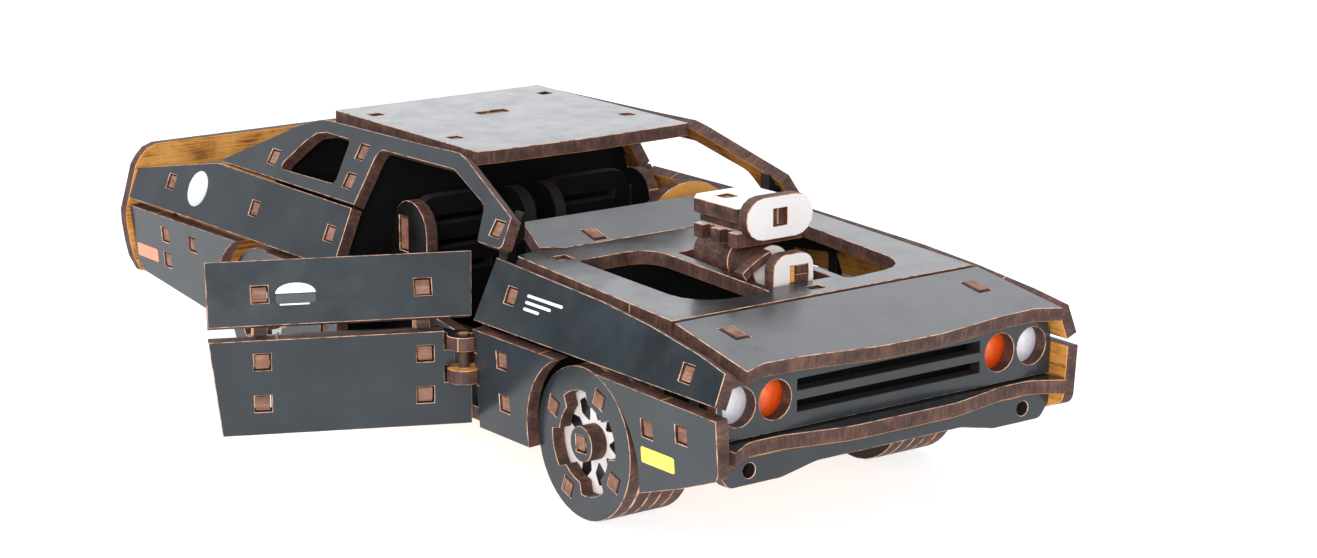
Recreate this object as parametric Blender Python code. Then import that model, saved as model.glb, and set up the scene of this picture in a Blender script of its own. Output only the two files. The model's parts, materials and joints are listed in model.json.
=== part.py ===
"""Slot-together plywood model of a two-door coupe, cut from 3 mm sheet.

Every part is a flat sheet with square slots and tabs, apart from the round dowels and the
laminated wheels. Sizes are millimetres, measured from the ground (z) and from the front axle
(y, positive to the rear) until place() moves them into the part's own frame, whose origin is
the middle of the floor plate's underside. The car's right side is at -X and its nose at -Y.
"""

import math
from collections import namedtuple

import bmesh
import bpy
from mathutils import Matrix, Vector

MM = 0.001

# Stock and fits
SHEET = 3.0  # plywood thickness
GAP = 0.4  # clearance between a frame and the skin beside it
SLOT = 3.7  # side of a square slot
TAB = 3.0  # width of the tab that fills it
TAB_RECESS = 0.4  # how far a tab's end stops short of the printed face

# Where the part's own frame lies
FLOOR_UNDERSIDE = 11.0
FLOOR_FRONT_Y = -21.0
FLOOR_REAR_Y = 153.0
FLOOR_MIDDLE_Y = (FLOOR_FRONT_Y + FLOOR_REAR_Y) / 2

# Running gear
WHEEL_RADIUS = 16.1
WHEELBASE = 131.3
WHEEL_FACE_X = 44.0  # outer face of the rim ring
WHEEL_INNER_X = 28.0
HUB_RADIUS = 3.75
HUB_PROUD = 0.6
WINDOW_RADIUS = 11.0
PAD_REACH = 8.6  # how near to the hub the rim's four pads come
PAD_ANGLES = (62.0, 152.0, 242.0, 332.0)
PAD_SLOT_RADIUS = 11.9
PAD_SLOT = 3.5
PAD_SLOT_TURN = 8.0  # how far each pad's slot is turned from the radius through it
AXLE_RADIUS = 1.5
AXLE_BORE = 1.8
ARCH_RADIUS = 19.5
ARCH_CENTRE_Z = 15.0
ARCH_AHEAD_FRONT = 2.5  # the arch centre lies this far ahead of the front axle
ARCH_AHEAD_REAR = 0.8
RAIL_X = 22.0
RAIL_TOP = 20.9

# Body heights
SILL_Z = 11.5
WAIST_LOW_Z = 33.3  # top edge of the lower skins
WAIST_HIGH_Z = 35.3  # bottom edge of the upper skins
CABIN_FOOT_Z = 49.3
FLOOR_TOP = FLOOR_UNDERSIDE + SHEET

# Top panels: the bonnet rises gently to the rear, the nose drops from its front edge
BREAK_Y = -24.6
BREAK_Z = 46.1
HOOD_SLOPE = math.radians(2.67)
NOSE_SLOPE = math.radians(9.8)
COWL_FRONT_Y = 31.3
COWL_SLOPE = math.radians(15.0)

# Cross frames: middle of each sheet's thickness
LAMP_BOARD_Y = -36.8
FRONT_FRAME_Y = -25.6
FIREWALL_Y = 24.9
DASH_Y = 37.9
BULKHEAD_Y = 98.4
REAR_FRAME_Y = 132.8
TRUNK_FRAME_Y = 173.9

# Doors
DOOR_AXIS_X = 47.7
DOOR_AXIS_Y = 38.3
DOOR_FRONT_Y = 36.5
DOOR_REAR_Y = 91.6
DOOR_RIB_Y = (46.4, 80.6)
RIGHT_DOOR_OPEN = math.radians(65.0)
LUG_RADIUS = 3.6
PIN_RADIUS = 1.2
PIN_BORE = 1.6
DOOR_LUG_Z = 28.6  # underside of the lug that swings with the door
BODY_LUG_Z = 21.4  # underside of the lug that stays with the body

# Steering
STEERING_X = 22.8
STEERING_Z = 39.4
STEERING_RADIUS = 13.9

Wall = namedtuple("Wall", "lean half z")
LOWER = Wall(math.radians(-4.0), 47.5, 33.5)
UPPER = Wall(math.radians(22.0), 47.5, 34.8)
CABIN = Wall(math.radians(30.0), 42.2, 48.0)

RIGHT, LEFT = -1, 1
SIDE_NAMES = {RIGHT: "right", LEFT: "left"}


def clear_scene():
    for obj in list(bpy.data.objects):
        bpy.data.objects.remove(obj)


def finish(name, rgb, roughness):
    material = bpy.data.materials.new(name)
    material.use_nodes = True
    shader = material.node_tree.nodes["Principled BSDF"]
    shader.inputs["Base Color"].default_value = (*rgb, 1.0)
    shader.inputs["Roughness"].default_value = roughness
    shader.inputs["Metallic"].default_value = 0.0
    material.diffuse_color = (*rgb, 1.0)
    return material


# Outlines ---------------------------------------------------------------------------------


def arc(centre_a, centre_b, radius, start, end, count):
    """Points along an arc from start to end, both in degrees and both included."""
    angles = [math.radians(start + (end - start) * i / count) for i in range(count + 1)]
    return [(centre_a + radius * math.cos(a), centre_b + radius * math.sin(a)) for a in angles]


def circle(centre_a, centre_b, radius, count):
    return arc(centre_a, centre_b, radius, 0.0, 360.0, count)[:-1]


def square(a, b, width=SLOT, height=SLOT, turn=0.0):
    """A rectangle about (a, b), turned by an angle in degrees."""
    c, s = math.cos(math.radians(turn)), math.sin(math.radians(turn))
    corners = [(-1, -1), (1, -1), (1, 1), (-1, 1)]
    halves = [(i * width / 2, j * height / 2) for i, j in corners]
    return [(a + p * c - q * s, b + p * s + q * c) for p, q in halves]


def rounded(points):
    """Replaces each corner given as (a, b, radius) by an arc of that radius."""
    result = []
    for i, point in enumerate(points):
        if len(point) == 2:
            result.append(point)
            continue
        corner = Vector(point[:2])
        before = (Vector(points[i - 1][:2]) - corner).normalized()
        after = (Vector(points[(i + 1) % len(points)][:2]) - corner).normalized()
        half = before.angle(after) / 2
        centre = corner + (before + after).normalized() * point[2] / math.sin(half)
        reach = point[2] / math.tan(half)
        first = corner + before * reach - centre
        last = corner + after * reach - centre
        steps = max(2, round(math.degrees(math.pi - 2 * half) / 20))
        sweep = math.atan2(first.cross(last), first.dot(last))
        for k in range(steps + 1):
            spoke = first.copy()
            spoke.rotate(Matrix.Rotation(sweep * k / steps, 2))
            result.append(tuple(centre + spoke))
    return result


def mirrored(half):
    """A whole outline from its +x half, listed from the bottom of the centre line to the top."""
    return [(-a, b) for a, b in reversed(half)] + list(half)


def arch_arc(axle_y, ahead, low_z, rearward, count=9):
    """The part of a wheel arch that bounds a skin, from its top edge down to low_z."""
    top = math.degrees(math.asin((WAIST_LOW_Z - ARCH_CENTRE_Z) / ARCH_RADIUS))
    bottom = math.degrees(math.asin((low_z - ARCH_CENTRE_Z) / ARCH_RADIUS))
    if not rearward:
        top, bottom = 180.0 - top, 180.0 - bottom
    return arc(axle_y - ahead, ARCH_CENTRE_Z, ARCH_RADIUS, top, bottom, count)


# Walls of the body ------------------------------------------------------------------------


def outer_x(wall, z):
    return wall.half - math.tan(wall.lean) * (z - wall.z)


def edge_x(wall, z, extra=0.0):
    """Half-width of a cross frame whose edge clears the wall's inner face."""
    return outer_x(wall, z) - (SHEET + GAP) / math.cos(wall.lean) - extra


def edge(wall, z, extra=0.0):
    return (edge_x(wall, z, extra), z)


def tab(wall, z):
    """Four points of a tab that runs square through the wall, its middle at z outside."""
    normal = Vector((math.cos(wall.lean), math.sin(wall.lean)))
    along = Vector((-normal.y, normal.x)) * TAB / 2
    outside = Vector((outer_x(wall, z), z))
    root = outside - normal * (SHEET + GAP)
    tip = outside - normal * TAB_RECESS
    return [tuple(p) for p in (root - along, tip - along, tip + along, root + along)]


def top_tab(x, z_low, z_high, width=TAB):
    """A tab on a top edge that is listed from the outside inwards."""
    half = width / 2
    return [(x + half, z_low), (x + half, z_high), (x - half, z_high), (x - half, z_low)]


def panel_top(y):
    """Height of the bonnet's or nose's printed face."""
    slope = HOOD_SLOPE if y > BREAK_Y else NOSE_SLOPE
    return BREAK_Z + (y - BREAK_Y) * math.tan(slope)


def under_panel(y):
    return panel_top(y) - SHEET - GAP - 0.3


def rail_notch():
    """The notch in a cross frame's bottom edge that straddles a chassis rail, going outwards."""
    half = SHEET / 2 + GAP
    low, high = FLOOR_TOP + GAP, RAIL_TOP + GAP
    inner, outer = RAIL_X - half, RAIL_X + half
    return [(inner, low), (inner, high), (outer, high), (outer, low)]


# Sheets -----------------------------------------------------------------------------------


def place(origin, u_axis, v_axis):
    """Matrix of a sheet whose outline lies along u and v, moved into the part's frame."""
    u, v = Vector(u_axis), Vector(v_axis)
    n = u.cross(v)
    x, y, z = origin
    shift = Vector((x, y - FLOOR_MIDDLE_Y, z - FLOOR_UNDERSIDE)) * MM
    matrix = Matrix((u, v, n)).transposed().to_4x4()
    matrix.translation = shift
    return matrix


def sheet(name, outline, holes, matrix, material):
    """A sheet whose printed face is the outline's plane, with its thickness behind it."""
    bm = bmesh.new()
    edges = []
    for loop in [outline, *holes]:
        verts = [bm.verts.new((a * MM, b * MM, 0.0)) for a, b in loop]
        edges += [bm.edges.new((verts[i - 1], verts[i])) for i in range(len(verts))]
    bmesh.ops.triangle_fill(bm, use_beauty=True, edges=edges, normal=(0.0, 0.0, 1.0))
    for face in bm.faces:
        if face.normal.z < 0.0:
            face.normal_flip()
    mesh = bpy.data.meshes.new(name)
    bm.to_mesh(mesh)
    bm.free()
    obj = add_object(name, mesh, matrix, material)
    solidify = obj.modifiers.new("Thickness", "SOLIDIFY")
    solidify.thickness = SHEET * MM
    solidify.offset = -1.0
    return obj


def add_object(name, mesh, matrix, material):
    mesh.materials.append(material)
    obj = bpy.data.objects.new(name, mesh)
    obj.matrix_world = matrix
    bpy.context.collection.objects.link(obj)
    return obj


def side_sheet(name, side, wall, outline, holes, material):
    """A skin on one side of the body; the outline is (y, z) with true heights."""
    stretch = 1.0 / math.cos(wall.lean)

    def flat(loop):
        return [(side * y, (z - wall.z) * stretch) for y, z in loop]

    u = (0.0, side, 0.0)
    v = (-side * math.sin(wall.lean), 0.0, math.cos(wall.lean))
    matrix = place((side * wall.half, 0.0, wall.z), u, v)
    return sheet(name, flat(outline), [flat(hole) for hole in holes], matrix, material)


def slots_at(wall, places):
    """Square slots in a leaning skin: their height is drawn as it looks from the side."""
    return [square(y, z, SLOT, SLOT * math.cos(wall.lean)) for y, z in places]


def cross_sheet(name, y_front, outline, holes, material, to_rear=False):
    """A sheet across the car; the outline is (x, z). The printed face looks ahead or back."""
    if to_rear:
        matrix = place((0.0, y_front + SHEET, 0.0), (-1.0, 0.0, 0.0), (0.0, 0.0, 1.0))
        outline = [(-a, b) for a, b in outline]
        holes = [[(-a, b) for a, b in hole] for hole in holes]
    else:
        matrix = place((0.0, y_front, 0.0), (1.0, 0.0, 0.0), (0.0, 0.0, 1.0))
    return sheet(name, outline, holes, matrix, material)


def level_sheet(name, y_ref, z_top, slope, outline, holes, material):
    """A lying sheet; the outline is (x, y) and it rises to the rear by the slope."""
    stretch = 1.0 / math.cos(slope)

    def flat(loop):
        return [(x, (y - y_ref) * stretch) for x, y in loop]

    v = (0.0, math.cos(slope), math.sin(slope))
    matrix = place((0.0, y_ref, z_top), (1.0, 0.0, 0.0), v)
    return sheet(name, flat(outline), [flat(hole) for hole in holes], matrix, material)


def upright_sheet(name, side, x_outer, outline, holes, material):
    """A sheet along the car, printed on its outer side; the outline is (y, z)."""
    matrix = place((side * x_outer, 0.0, 0.0), (0.0, side, 0.0), (0.0, 0.0, 1.0))
    loops = [[(side * y, z) for y, z in loop] for loop in [outline, *holes]]
    return sheet(name, loops[0], loops[1:], matrix, material)


def turned(name, profile, matrix, material, count):
    """A closed ring or rod turned about local Z from (radius, height) points."""
    bm = bmesh.new()
    rings = []
    for radius, height in profile:
        if radius == 0.0:
            rings.append([bm.verts.new((0.0, 0.0, height * MM))])
            continue
        ring = circle(0.0, 0.0, radius * MM, count)
        rings.append([bm.verts.new((a, b, height * MM)) for a, b in ring])
    closed = profile[0][0] != 0.0
    pairs = zip(rings, rings[1:] + rings[:1]) if closed else zip(rings, rings[1:])
    for lower, upper in pairs:
        for i in range(count):
            corners = [lower[i % len(lower)], lower[(i + 1) % len(lower)]]
            corners += [upper[(i + 1) % len(upper)], upper[i % len(upper)]]
            bm.faces.new(dict.fromkeys(corners))
    bmesh.ops.recalc_face_normals(bm, faces=bm.faces)
    mesh = bpy.data.meshes.new(name)
    bm.to_mesh(mesh)
    bm.free()
    mesh.shade_smooth()
    mesh.set_sharp_from_angle(angle=math.radians(35.0))
    return add_object(name, mesh, matrix, material)


def join(target, *others):
    """Makes one body of the target and hidden helpers that overlap it."""
    for other in others:
        other.hide_render = True
        other.display_type = "WIRE"
        union = target.modifiers.new("Union", "BOOLEAN")
        union.operation = "UNION"
        union.solver = "EXACT"
        union.object = other


def axis_empty(name, x, y, z, turn=0.0):
    """An empty on a joint's axis, turned about Z from the joint's closed position."""
    empty = bpy.data.objects.new(name, None)
    empty.matrix_world = place((x, y, z), (1.0, 0.0, 0.0), (0.0, 1.0, 0.0))
    empty.rotation_euler.z = turn
    bpy.context.collection.objects.link(empty)
    return empty


def hang_on(empty, *pieces):
    """Parents pieces, built in their closed position, to the empty on their axis."""
    for piece in pieces:
        piece.matrix_basis = Matrix.Translation(-empty.location) @ piece.matrix_world
        piece.parent = empty


# Skins ------------------------------------------------------------------------------------


def build_lower_skins(side, material):
    name = SIDE_NAMES[side]
    front_arch = arch_arc(0.0, ARCH_AHEAD_FRONT, SILL_Z, rearward=False)
    corner = [(-48.1, 32.6), (-48.0, 20.6, 2.5), (-35.7, 16.0), *reversed(front_arch)]
    places = [(FRONT_FRAME_Y, 25.7), (LAMP_BOARD_Y, 27.2)]
    holes = slots_at(LOWER, places)
    side_sheet(f"{name}_front_corner", side, LOWER, rounded(corner), holes, material)

    rear_y, notch_y = 35.3, 34.2
    notches = []
    for lug in (BODY_LUG_Z, DOOR_LUG_Z):
        low, high = lug - GAP, lug + SHEET + GAP
        notches += [(rear_y, low), (notch_y, low), (notch_y, high), (rear_y, high)]
    rear_arch = arch_arc(0.0, ARCH_AHEAD_FRONT, SILL_Z, rearward=True)
    fender = [*rear_arch, (rear_y, SILL_Z), *notches, (rear_y, WAIST_LOW_Z)]
    holes = slots_at(LOWER, [(FIREWALL_Y, 28.5), (FIREWALL_Y, 19.1)])
    side_sheet(f"{name}_lower_fender", side, LOWER, fender, holes, material)

    arch = arch_arc(WHEELBASE, ARCH_AHEAD_REAR, SILL_Z, rearward=False)
    sill = [(92.9, SILL_Z), (92.9, WAIST_LOW_Z), *arch]
    holes = slots_at(LOWER, [(BULKHEAD_Y, 28.5), (BULKHEAD_Y, 19.1)])
    side_sheet(f"{name}_rear_sill", side, LOWER, sill, holes, material)

    arch = arch_arc(WHEELBASE, ARCH_AHEAD_REAR, 12.2, rearward=True)
    quarter = [(191.9, 32.7), (190.9, 21.5), (189.5, 17.6, 3.0), (186.5, 16.4)]
    quarter += list(reversed(arch))
    places = [(TRUNK_FRAME_Y, 28.2), (TRUNK_FRAME_Y, 21.8), (159.9, 28.3)]
    holes = slots_at(LOWER, places)
    side_sheet(f"{name}_lower_quarter", side, LOWER, rounded(quarter), holes, material)


def build_upper_skins(side, material):
    name = SIDE_NAMES[side]
    fender = [(35.1, WAIST_HIGH_Z), (33.9, 48.2), (-4.8, 46.7), (-21.8, 45.3), (-38.5, 43.2)]
    fender += [(-47.6, 41.5), (-47.7, WAIST_HIGH_Z)]
    holes = slots_at(UPPER, [(FIREWALL_Y, 42.1), (LAMP_BOARD_Y, 39.3)])
    side_sheet(f"{name}_upper_fender", side, UPPER, fender, holes, material)

    quarter = [(92.8, 48.5), (92.8, WAIST_HIGH_Z), (160.0, 35.0), (191.9, 34.6), (191.9, 42.0)]
    quarter += [(155.3, 48.7)]
    places = [(BULKHEAD_Y, 42.0), (REAR_FRAME_Y, 41.8), (TRUNK_FRAME_Y, 41.4)]
    holes = slots_at(UPPER, places)
    side_sheet(f"{name}_upper_quarter", side, UPPER, quarter, holes, material)

    roofline = [(153.8, CABIN_FOOT_Z), (154.5, 49.6), (127.8, 61.4), (120.9, 63.5), (117.9, 63.9)]
    roofline += [(77.9, 64.5), (62.7, 64.9), (59.1, 64.1), (34.9, 56.0), (33.6, 49.9, 1.0)]
    window = [(42.8, 49.9, 1.2), (45.8, 56.8, 3.0), (61.9, 61.6, 3.0), (92.6, 61.2, 2.0)]
    outline = rounded([*roofline, *window, (92.6, CABIN_FOOT_Z)])
    quarter_window = [(129.3, 51.6, 1.0), (120.0, 61.4, 9.0), (105.2, 61.4, 1.5), (103.6, 52.0, 1.2)]
    places = [(REAR_FRAME_Y, 53.5), (BULKHEAD_Y, 59.7), (BULKHEAD_Y, 53.5), (DASH_Y, 53.3)]
    holes = [rounded(quarter_window), *slots_at(CABIN, places)]
    side_sheet(f"{name}_cabin_side", side, CABIN, outline, holes, material)


def build_top_panels(material):
    lip = [(41.1, -49.7), (35.5, -47.7, 5.0), (26.0, -48.0, 12.0), (8.0, -50.2, 24.0)]
    nose = [(-39.8, BREAK_Y - 0.6), (39.8, BREAK_Y - 0.6), *lip]
    nose += [(-p[0], *p[1:]) for p in reversed(lip)]
    holes = [square(x, -33.7, SLOT, 5.9) for x in (-31.7, 31.7)]
    level_sheet("nose_panel", BREAK_Y, BREAK_Z, NOSE_SLOPE, rounded(nose), holes, material)

    hood = [(-39.6, BREAK_Y + 0.6), (39.6, BREAK_Y + 0.6), (38.9, 31.3, 1.5), (33.0, 32.4)]
    hood += [(26.0, 30.7), (-26.0, 30.7), (-33.0, 32.4), (-38.9, 31.3, 1.5)]
    scoops = []
    for side in (RIGHT, LEFT):
        scoop = [(30.1, 21.5, 1.5), (11.0, 21.9, 6.0), (10.0, -18.3, 1.5), (28.5, -16.6, 9.0)]
        scoops.append(rounded([(side * p[0], *p[1:]) for p in scoop]))
    engine_hole = square(0.0, 0.2, 16.2, 31.6)
    slots = [square(x, FIREWALL_Y) for x in (-31.5, 31.5)] + [square(0.0, -20.0, SLOT, 2.6)]
    holes = [*scoops, engine_hole, *slots]
    level_sheet("hood_panel", BREAK_Y, BREAK_Z, HOOD_SLOPE, rounded(hood), holes, material)

    cowl = [(-26.0, COWL_FRONT_Y), (26.0, COWL_FRONT_Y), (31.8, 33.0), (28.4, 44.3)]
    cowl += [(-28.4, 44.3), (-31.8, 33.0)]
    holes = [square(x, 34.8, SLOT, 5.2) for x in (-16.3, 16.3)]
    foot = panel_top(COWL_FRONT_Y)
    level_sheet("cowl_panel", COWL_FRONT_Y, foot, COWL_SLOPE, cowl, holes, material)

    roof = [(-28.6, 121.4), (-28.8, 60.8), (0.0, 58.6, 300.0), (28.8, 60.8), (28.6, 121.4)]
    holes = [square(x, y, 3.4, 3.4) for y in (77.5, 111.3) for x in (-23.7, 23.7)]
    holes.append(square(0.0, BULKHEAD_Y, 8.4, SLOT))
    level_sheet("roof_panel", 121.4, 65.2, math.radians(0.3), rounded(roof), holes, material)


def build_nose_parts(material):
    half = [(43.6, 26.4), (43.8, 33.2), edge(UPPER, 35.2), edge(UPPER, 38.9)]
    holes = [circle(x, 32.9, 4.05, 20) for x in (-38.3, -29.4, 29.4, 38.3)]
    holes += [square(0.0, z, 47.8, 2.3) for z in (30.7, 35.0)]
    cross_sheet("grille_panel", -43.7, mirrored(half), holes, material)

    y = LAMP_BOARD_Y - SHEET / 2
    top = under_panel(LAMP_BOARD_Y) - 0.3
    half = [edge(LOWER, 18.0), *tab(LOWER, 27.2), edge(LOWER, 33.2), edge(UPPER, 35.0)]
    half += [*tab(UPPER, 39.3), edge(UPPER, top)]
    cross_sheet("lamp_board", y, mirrored(half), [], material)

    edge_line = [(43.4, -49.2), (37.0, -45.0, 6.0), (29.0, -45.0, 6.0), (14.0, -48.4, 20.0)]
    bumper = [(43.4, -39.2), *edge_line, *[(-p[0], *p[1:]) for p in reversed(edge_line)]]
    bumper.append((-43.4, -39.2))
    level_sheet("front_bumper", 0.0, 26.0, 0.0, rounded(bumper), [], material)

    lower_edge = [(-43.3, 20.0), (-41.0, 17.0, 2.0), (-28.0, 17.0, 6.0), (-19.0, 18.8, 8.0)]
    valance = [(-43.4, 22.6), *lower_edge, *[(-p[0], *p[1:]) for p in reversed(lower_edge)]]
    valance.append((43.4, 22.6))
    holes = [circle(x, 19.9, 1.6, 12) for x in (-36.0, 36.0)]
    cross_sheet("front_valance", -44.0, rounded(valance), holes, material)


# Frames -----------------------------------------------------------------------------------


def build_cross_frames(material):
    low = FLOOR_TOP + GAP
    notch = rail_notch()

    half = [*notch, edge(LOWER, low), *tab(LOWER, 25.7), edge(LOWER, 33.2), edge(UPPER, 34.8)]
    half += [edge(UPPER, under_panel(FRONT_FRAME_Y))]
    cross_sheet("front_frame", FRONT_FRAME_Y - SHEET / 2, mirrored(half), [], material)

    top = under_panel(FIREWALL_Y)
    half = [*notch, edge(LOWER, low), *tab(LOWER, 19.1), *tab(LOWER, 28.5), edge(LOWER, 33.2)]
    half += [edge(UPPER, 34.8), *tab(UPPER, 42.1), edge(UPPER, top), *top_tab(31.5, top, top + SHEET)]
    window = [(28.0, 33.5, 1.5), (42.2, 33.5, 1.5), (42.2, 39.4, 1.0), (28.0, 42.8, 1.5)]
    windows = [rounded(window), rounded([(-x, z, r) for x, z, r in reversed(window)])]
    cross_sheet("firewall", FIREWALL_Y - SHEET / 2, mirrored(half), windows, material)

    top = under_panel(DASH_Y)
    foot = 49.4
    half = [*notch, (42.3, low), (42.3, 34.0), edge(UPPER, 42.0, 1.4), edge(UPPER, top, 1.4)]
    half += [edge(CABIN, foot), *tab(CABIN, 53.3), edge(CABIN, 56.2), (33.0, 56.2)]
    half += [(33.0, 51.0), (35.4, 49.4), (35.4, top)]
    holes = [circle(STEERING_X, STEERING_Z, AXLE_BORE + 0.1, 12)]
    cross_sheet("dash_panel", DASH_Y - SHEET / 2, mirrored(half), holes, material)

    half = [*notch, edge(LOWER, low), *tab(LOWER, 19.1), *tab(LOWER, 28.5), edge(LOWER, 33.2)]
    half += [edge(UPPER, 34.8), *tab(UPPER, 42.0), (edge_x(CABIN, 48.6), 47.4)]
    half += [*tab(CABIN, 53.5), *tab(CABIN, 59.7), edge(CABIN, 61.4)]
    half += top_tab(0.0, 61.4, 64.6, 7.6)[:2]
    cross_sheet("seat_bulkhead", BULKHEAD_Y - SHEET / 2, mirrored(half), [], material)

    half = [edge(UPPER, 35.0), *tab(UPPER, 41.8), (edge_x(CABIN, 48.6), 47.4), *tab(CABIN, 53.5)]
    half += [edge(CABIN, 56.5)]
    cross_sheet("rear_frame", REAR_FRAME_Y - SHEET / 2, mirrored(half), [], material)

    half = [*notch, edge(LOWER, low), *tab(LOWER, 21.8), *tab(LOWER, 28.2), edge(LOWER, 33.2)]
    half += [edge(UPPER, 34.8), *tab(UPPER, 41.4), (38.4, 44.6)]
    cross_sheet("trunk_frame", TRUNK_FRAME_Y - SHEET / 2, mirrored(half), [], material, to_rear=True)

    half = [(42.5, 14.8), (44.8, 15.4), (46.7, 19.2), (47.5, 22.7), (48.3, 28.0), (48.4, 31.4)]
    half += [(47.4, 34.7), (45.2, 42.5), (43.7, 44.7), (41.8, 46.5), (39.1, 47.4)]
    cross_sheet("tail_panel", 192.2, mirrored(half), [], material, to_rear=True)


def build_chassis(material):
    near_wheel, beside_axle, wide = 20.5, 25.6, 42.4
    half = [(beside_axle, FLOOR_FRONT_Y), (beside_axle, near_wheel), (wide, near_wheel)]
    half += [(wide, WHEELBASE - near_wheel), (beside_axle, WHEELBASE - near_wheel)]
    half += [(beside_axle, FLOOR_REAR_Y)]
    level_sheet("floor_plate", 0.0, FLOOR_TOP, 0.0, mirrored(half), [], material)

    low = FLOOR_TOP + GAP
    front_tip, rear_tip, tip_z = -34.8, 186.0, 18.0
    outline = [(front_tip, tip_z), (FLOOR_FRONT_Y - 3.0, low)]
    for axle_y in (0.0, WHEELBASE):
        outline.append((axle_y - AXLE_BORE, low))
        outline += arc(axle_y, WHEEL_RADIUS, AXLE_BORE, 180.0, 0.0, 8)
        outline.append((axle_y + AXLE_BORE, low))
    outline += [(FLOOR_REAR_Y + 8.0, low), (rear_tip, tip_z), (rear_tip, RAIL_TOP)]
    outline.append((front_tip, RAIL_TOP))
    for side in (RIGHT, LEFT):
        name = f"{SIDE_NAMES[side]}_chassis_rail"
        upright_sheet(name, side, RAIL_X + SHEET / 2, outline, [], material)


# Engine, seats and steering -------------------------------------------------------------


def build_engine(faces, edges):
    """The blower that stands through the bonnet: white-faced plates round a stacked barrel."""
    ends = arc(4.3, 58.9, 4.5, -90.0, 90.0, 8)
    scoop = [*ends, *[(-x, z) for x, z in reversed(ends)]]
    cross_sheet("scoop_face", -8.4, scoop, [square(0.1, 58.9)], faces)

    slab = [(8.6, -5.0), (8.6, 9.6), (5.8, 12.6), (-5.8, 12.6), (-8.6, 9.6), (-8.6, -5.0)]
    level_sheet("scoop_top_slab", 0.0, 61.0, 0.0, slab, [square(-2.0, 6.9)], faces)

    teeth = []
    for start in (-5.0, 0.8, 6.6):
        teeth += [(8.6, start), (8.6, start + 3.0), (6.8, start + 3.0), (6.8, start + 5.8)]
    teeth = teeth[:-1]
    slab = [*teeth, *[(-x, y) for x, y in reversed(teeth)]]
    level_sheet("scoop_base_slab", 0.0, 55.7, 0.0, slab, [], faces)

    along_y = place((0.0, -2.6, 47.6), (1.0, 0.0, 0.0), (0.0, 0.0, -1.0))
    profile = [(0.0, 0.0)]
    for layer in range(6):
        low, high = layer * SHEET, layer * SHEET + SHEET
        profile += [(4.2, low), (4.5, low + 0.3), (4.5, high - 0.3), (4.2, high)]
    profile = [p for i, p in enumerate(profile) if p != profile[i - 1] or i == 0]
    profile.append((0.0, 6 * SHEET))
    turned("blower_barrel", profile, along_y, edges, 20)

    half = [(5.3, FLOOR_TOP + GAP), (5.3, 52.0, 3.2)]
    plate = rounded([(-5.3, FLOOR_TOP + GAP), *half, (-5.3, 52.0, 3.2)])
    cross_sheet("engine_front_plate", -13.0, plate, [square(1.5, 47.5, 4.8, 3.8)], faces)


def build_seats(material):
    back_y = 86.0
    cushion = [(62.0, FLOOR_TOP + GAP), (95.5, FLOOR_TOP + GAP), (94.6, 30.0)]
    crest = arc(83.4, 43.6, 7.0, 0.0, 180.0, 9)
    outline = [*cushion, *crest, (76.6, 26.0), (62.0, 24.0)]
    slot = square(back_y, 42.6, SLOT, 8.0)
    for side in (RIGHT, LEFT):
        name = SIDE_NAMES[side]
        upright_sheet(f"{name}_seat_side", side, 32.5, outline, [slot], material)
        back = [(29.1, RAIL_TOP + GAP), (29.1, 39.0), (32.1, 39.0), (32.1, 46.2), (29.1, 46.2)]
        back += [(29.1, 50.5, 4.0), (6.0, 50.5, 4.0), (6.0, RAIL_TOP + GAP)]
        outline_back = rounded([(side * p[0], *p[1:]) for p in back])
        holes = [square(side * 17.5, z, 15.0, 2.0) for z in (33.5, 39.2, 44.9)]
        cross_sheet(f"{name}_seat_back", back_y - SHEET / 2, outline_back, holes, material)


def build_steering(material):
    rim_width, hub, spoke = 4.0, 3.4, 1.6
    inner = STEERING_RADIUS - rim_width
    holes = []
    for start in (30.0, 150.0, 270.0):
        outer_trim = math.degrees(math.asin(spoke / inner))
        hub_trim = math.degrees(math.asin(spoke / hub))
        far = arc(STEERING_X, STEERING_Z, inner, start + outer_trim, start + 120.0 - outer_trim, 7)
        near = arc(STEERING_X, STEERING_Z, hub, start + 120.0 - hub_trim, start + hub_trim, 3)
        holes.append([*far, *near])
    rim = circle(STEERING_X, STEERING_Z, STEERING_RADIUS, 32)
    wheel = cross_sheet("steering_wheel", 52.4, rim, holes, material, to_rear=True)
    column_front, column_rear = 36.0, 53.4
    along_y = place((STEERING_X, column_front, STEERING_Z), (1.0, 0.0, 0.0), (0.0, 0.0, -1.0))
    length = column_rear - column_front
    rod = [(0.0, 0.0), (AXLE_RADIUS, 0.0), (AXLE_RADIUS, length), (0.0, length)]
    column = turned("steering_column", rod, along_y, material, 12)
    join(wheel, column)
    hang_on(axis_empty("steering_axis", STEERING_X, column_front, STEERING_Z), wheel, column)


# Doors ------------------------------------------------------------------------------------


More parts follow.
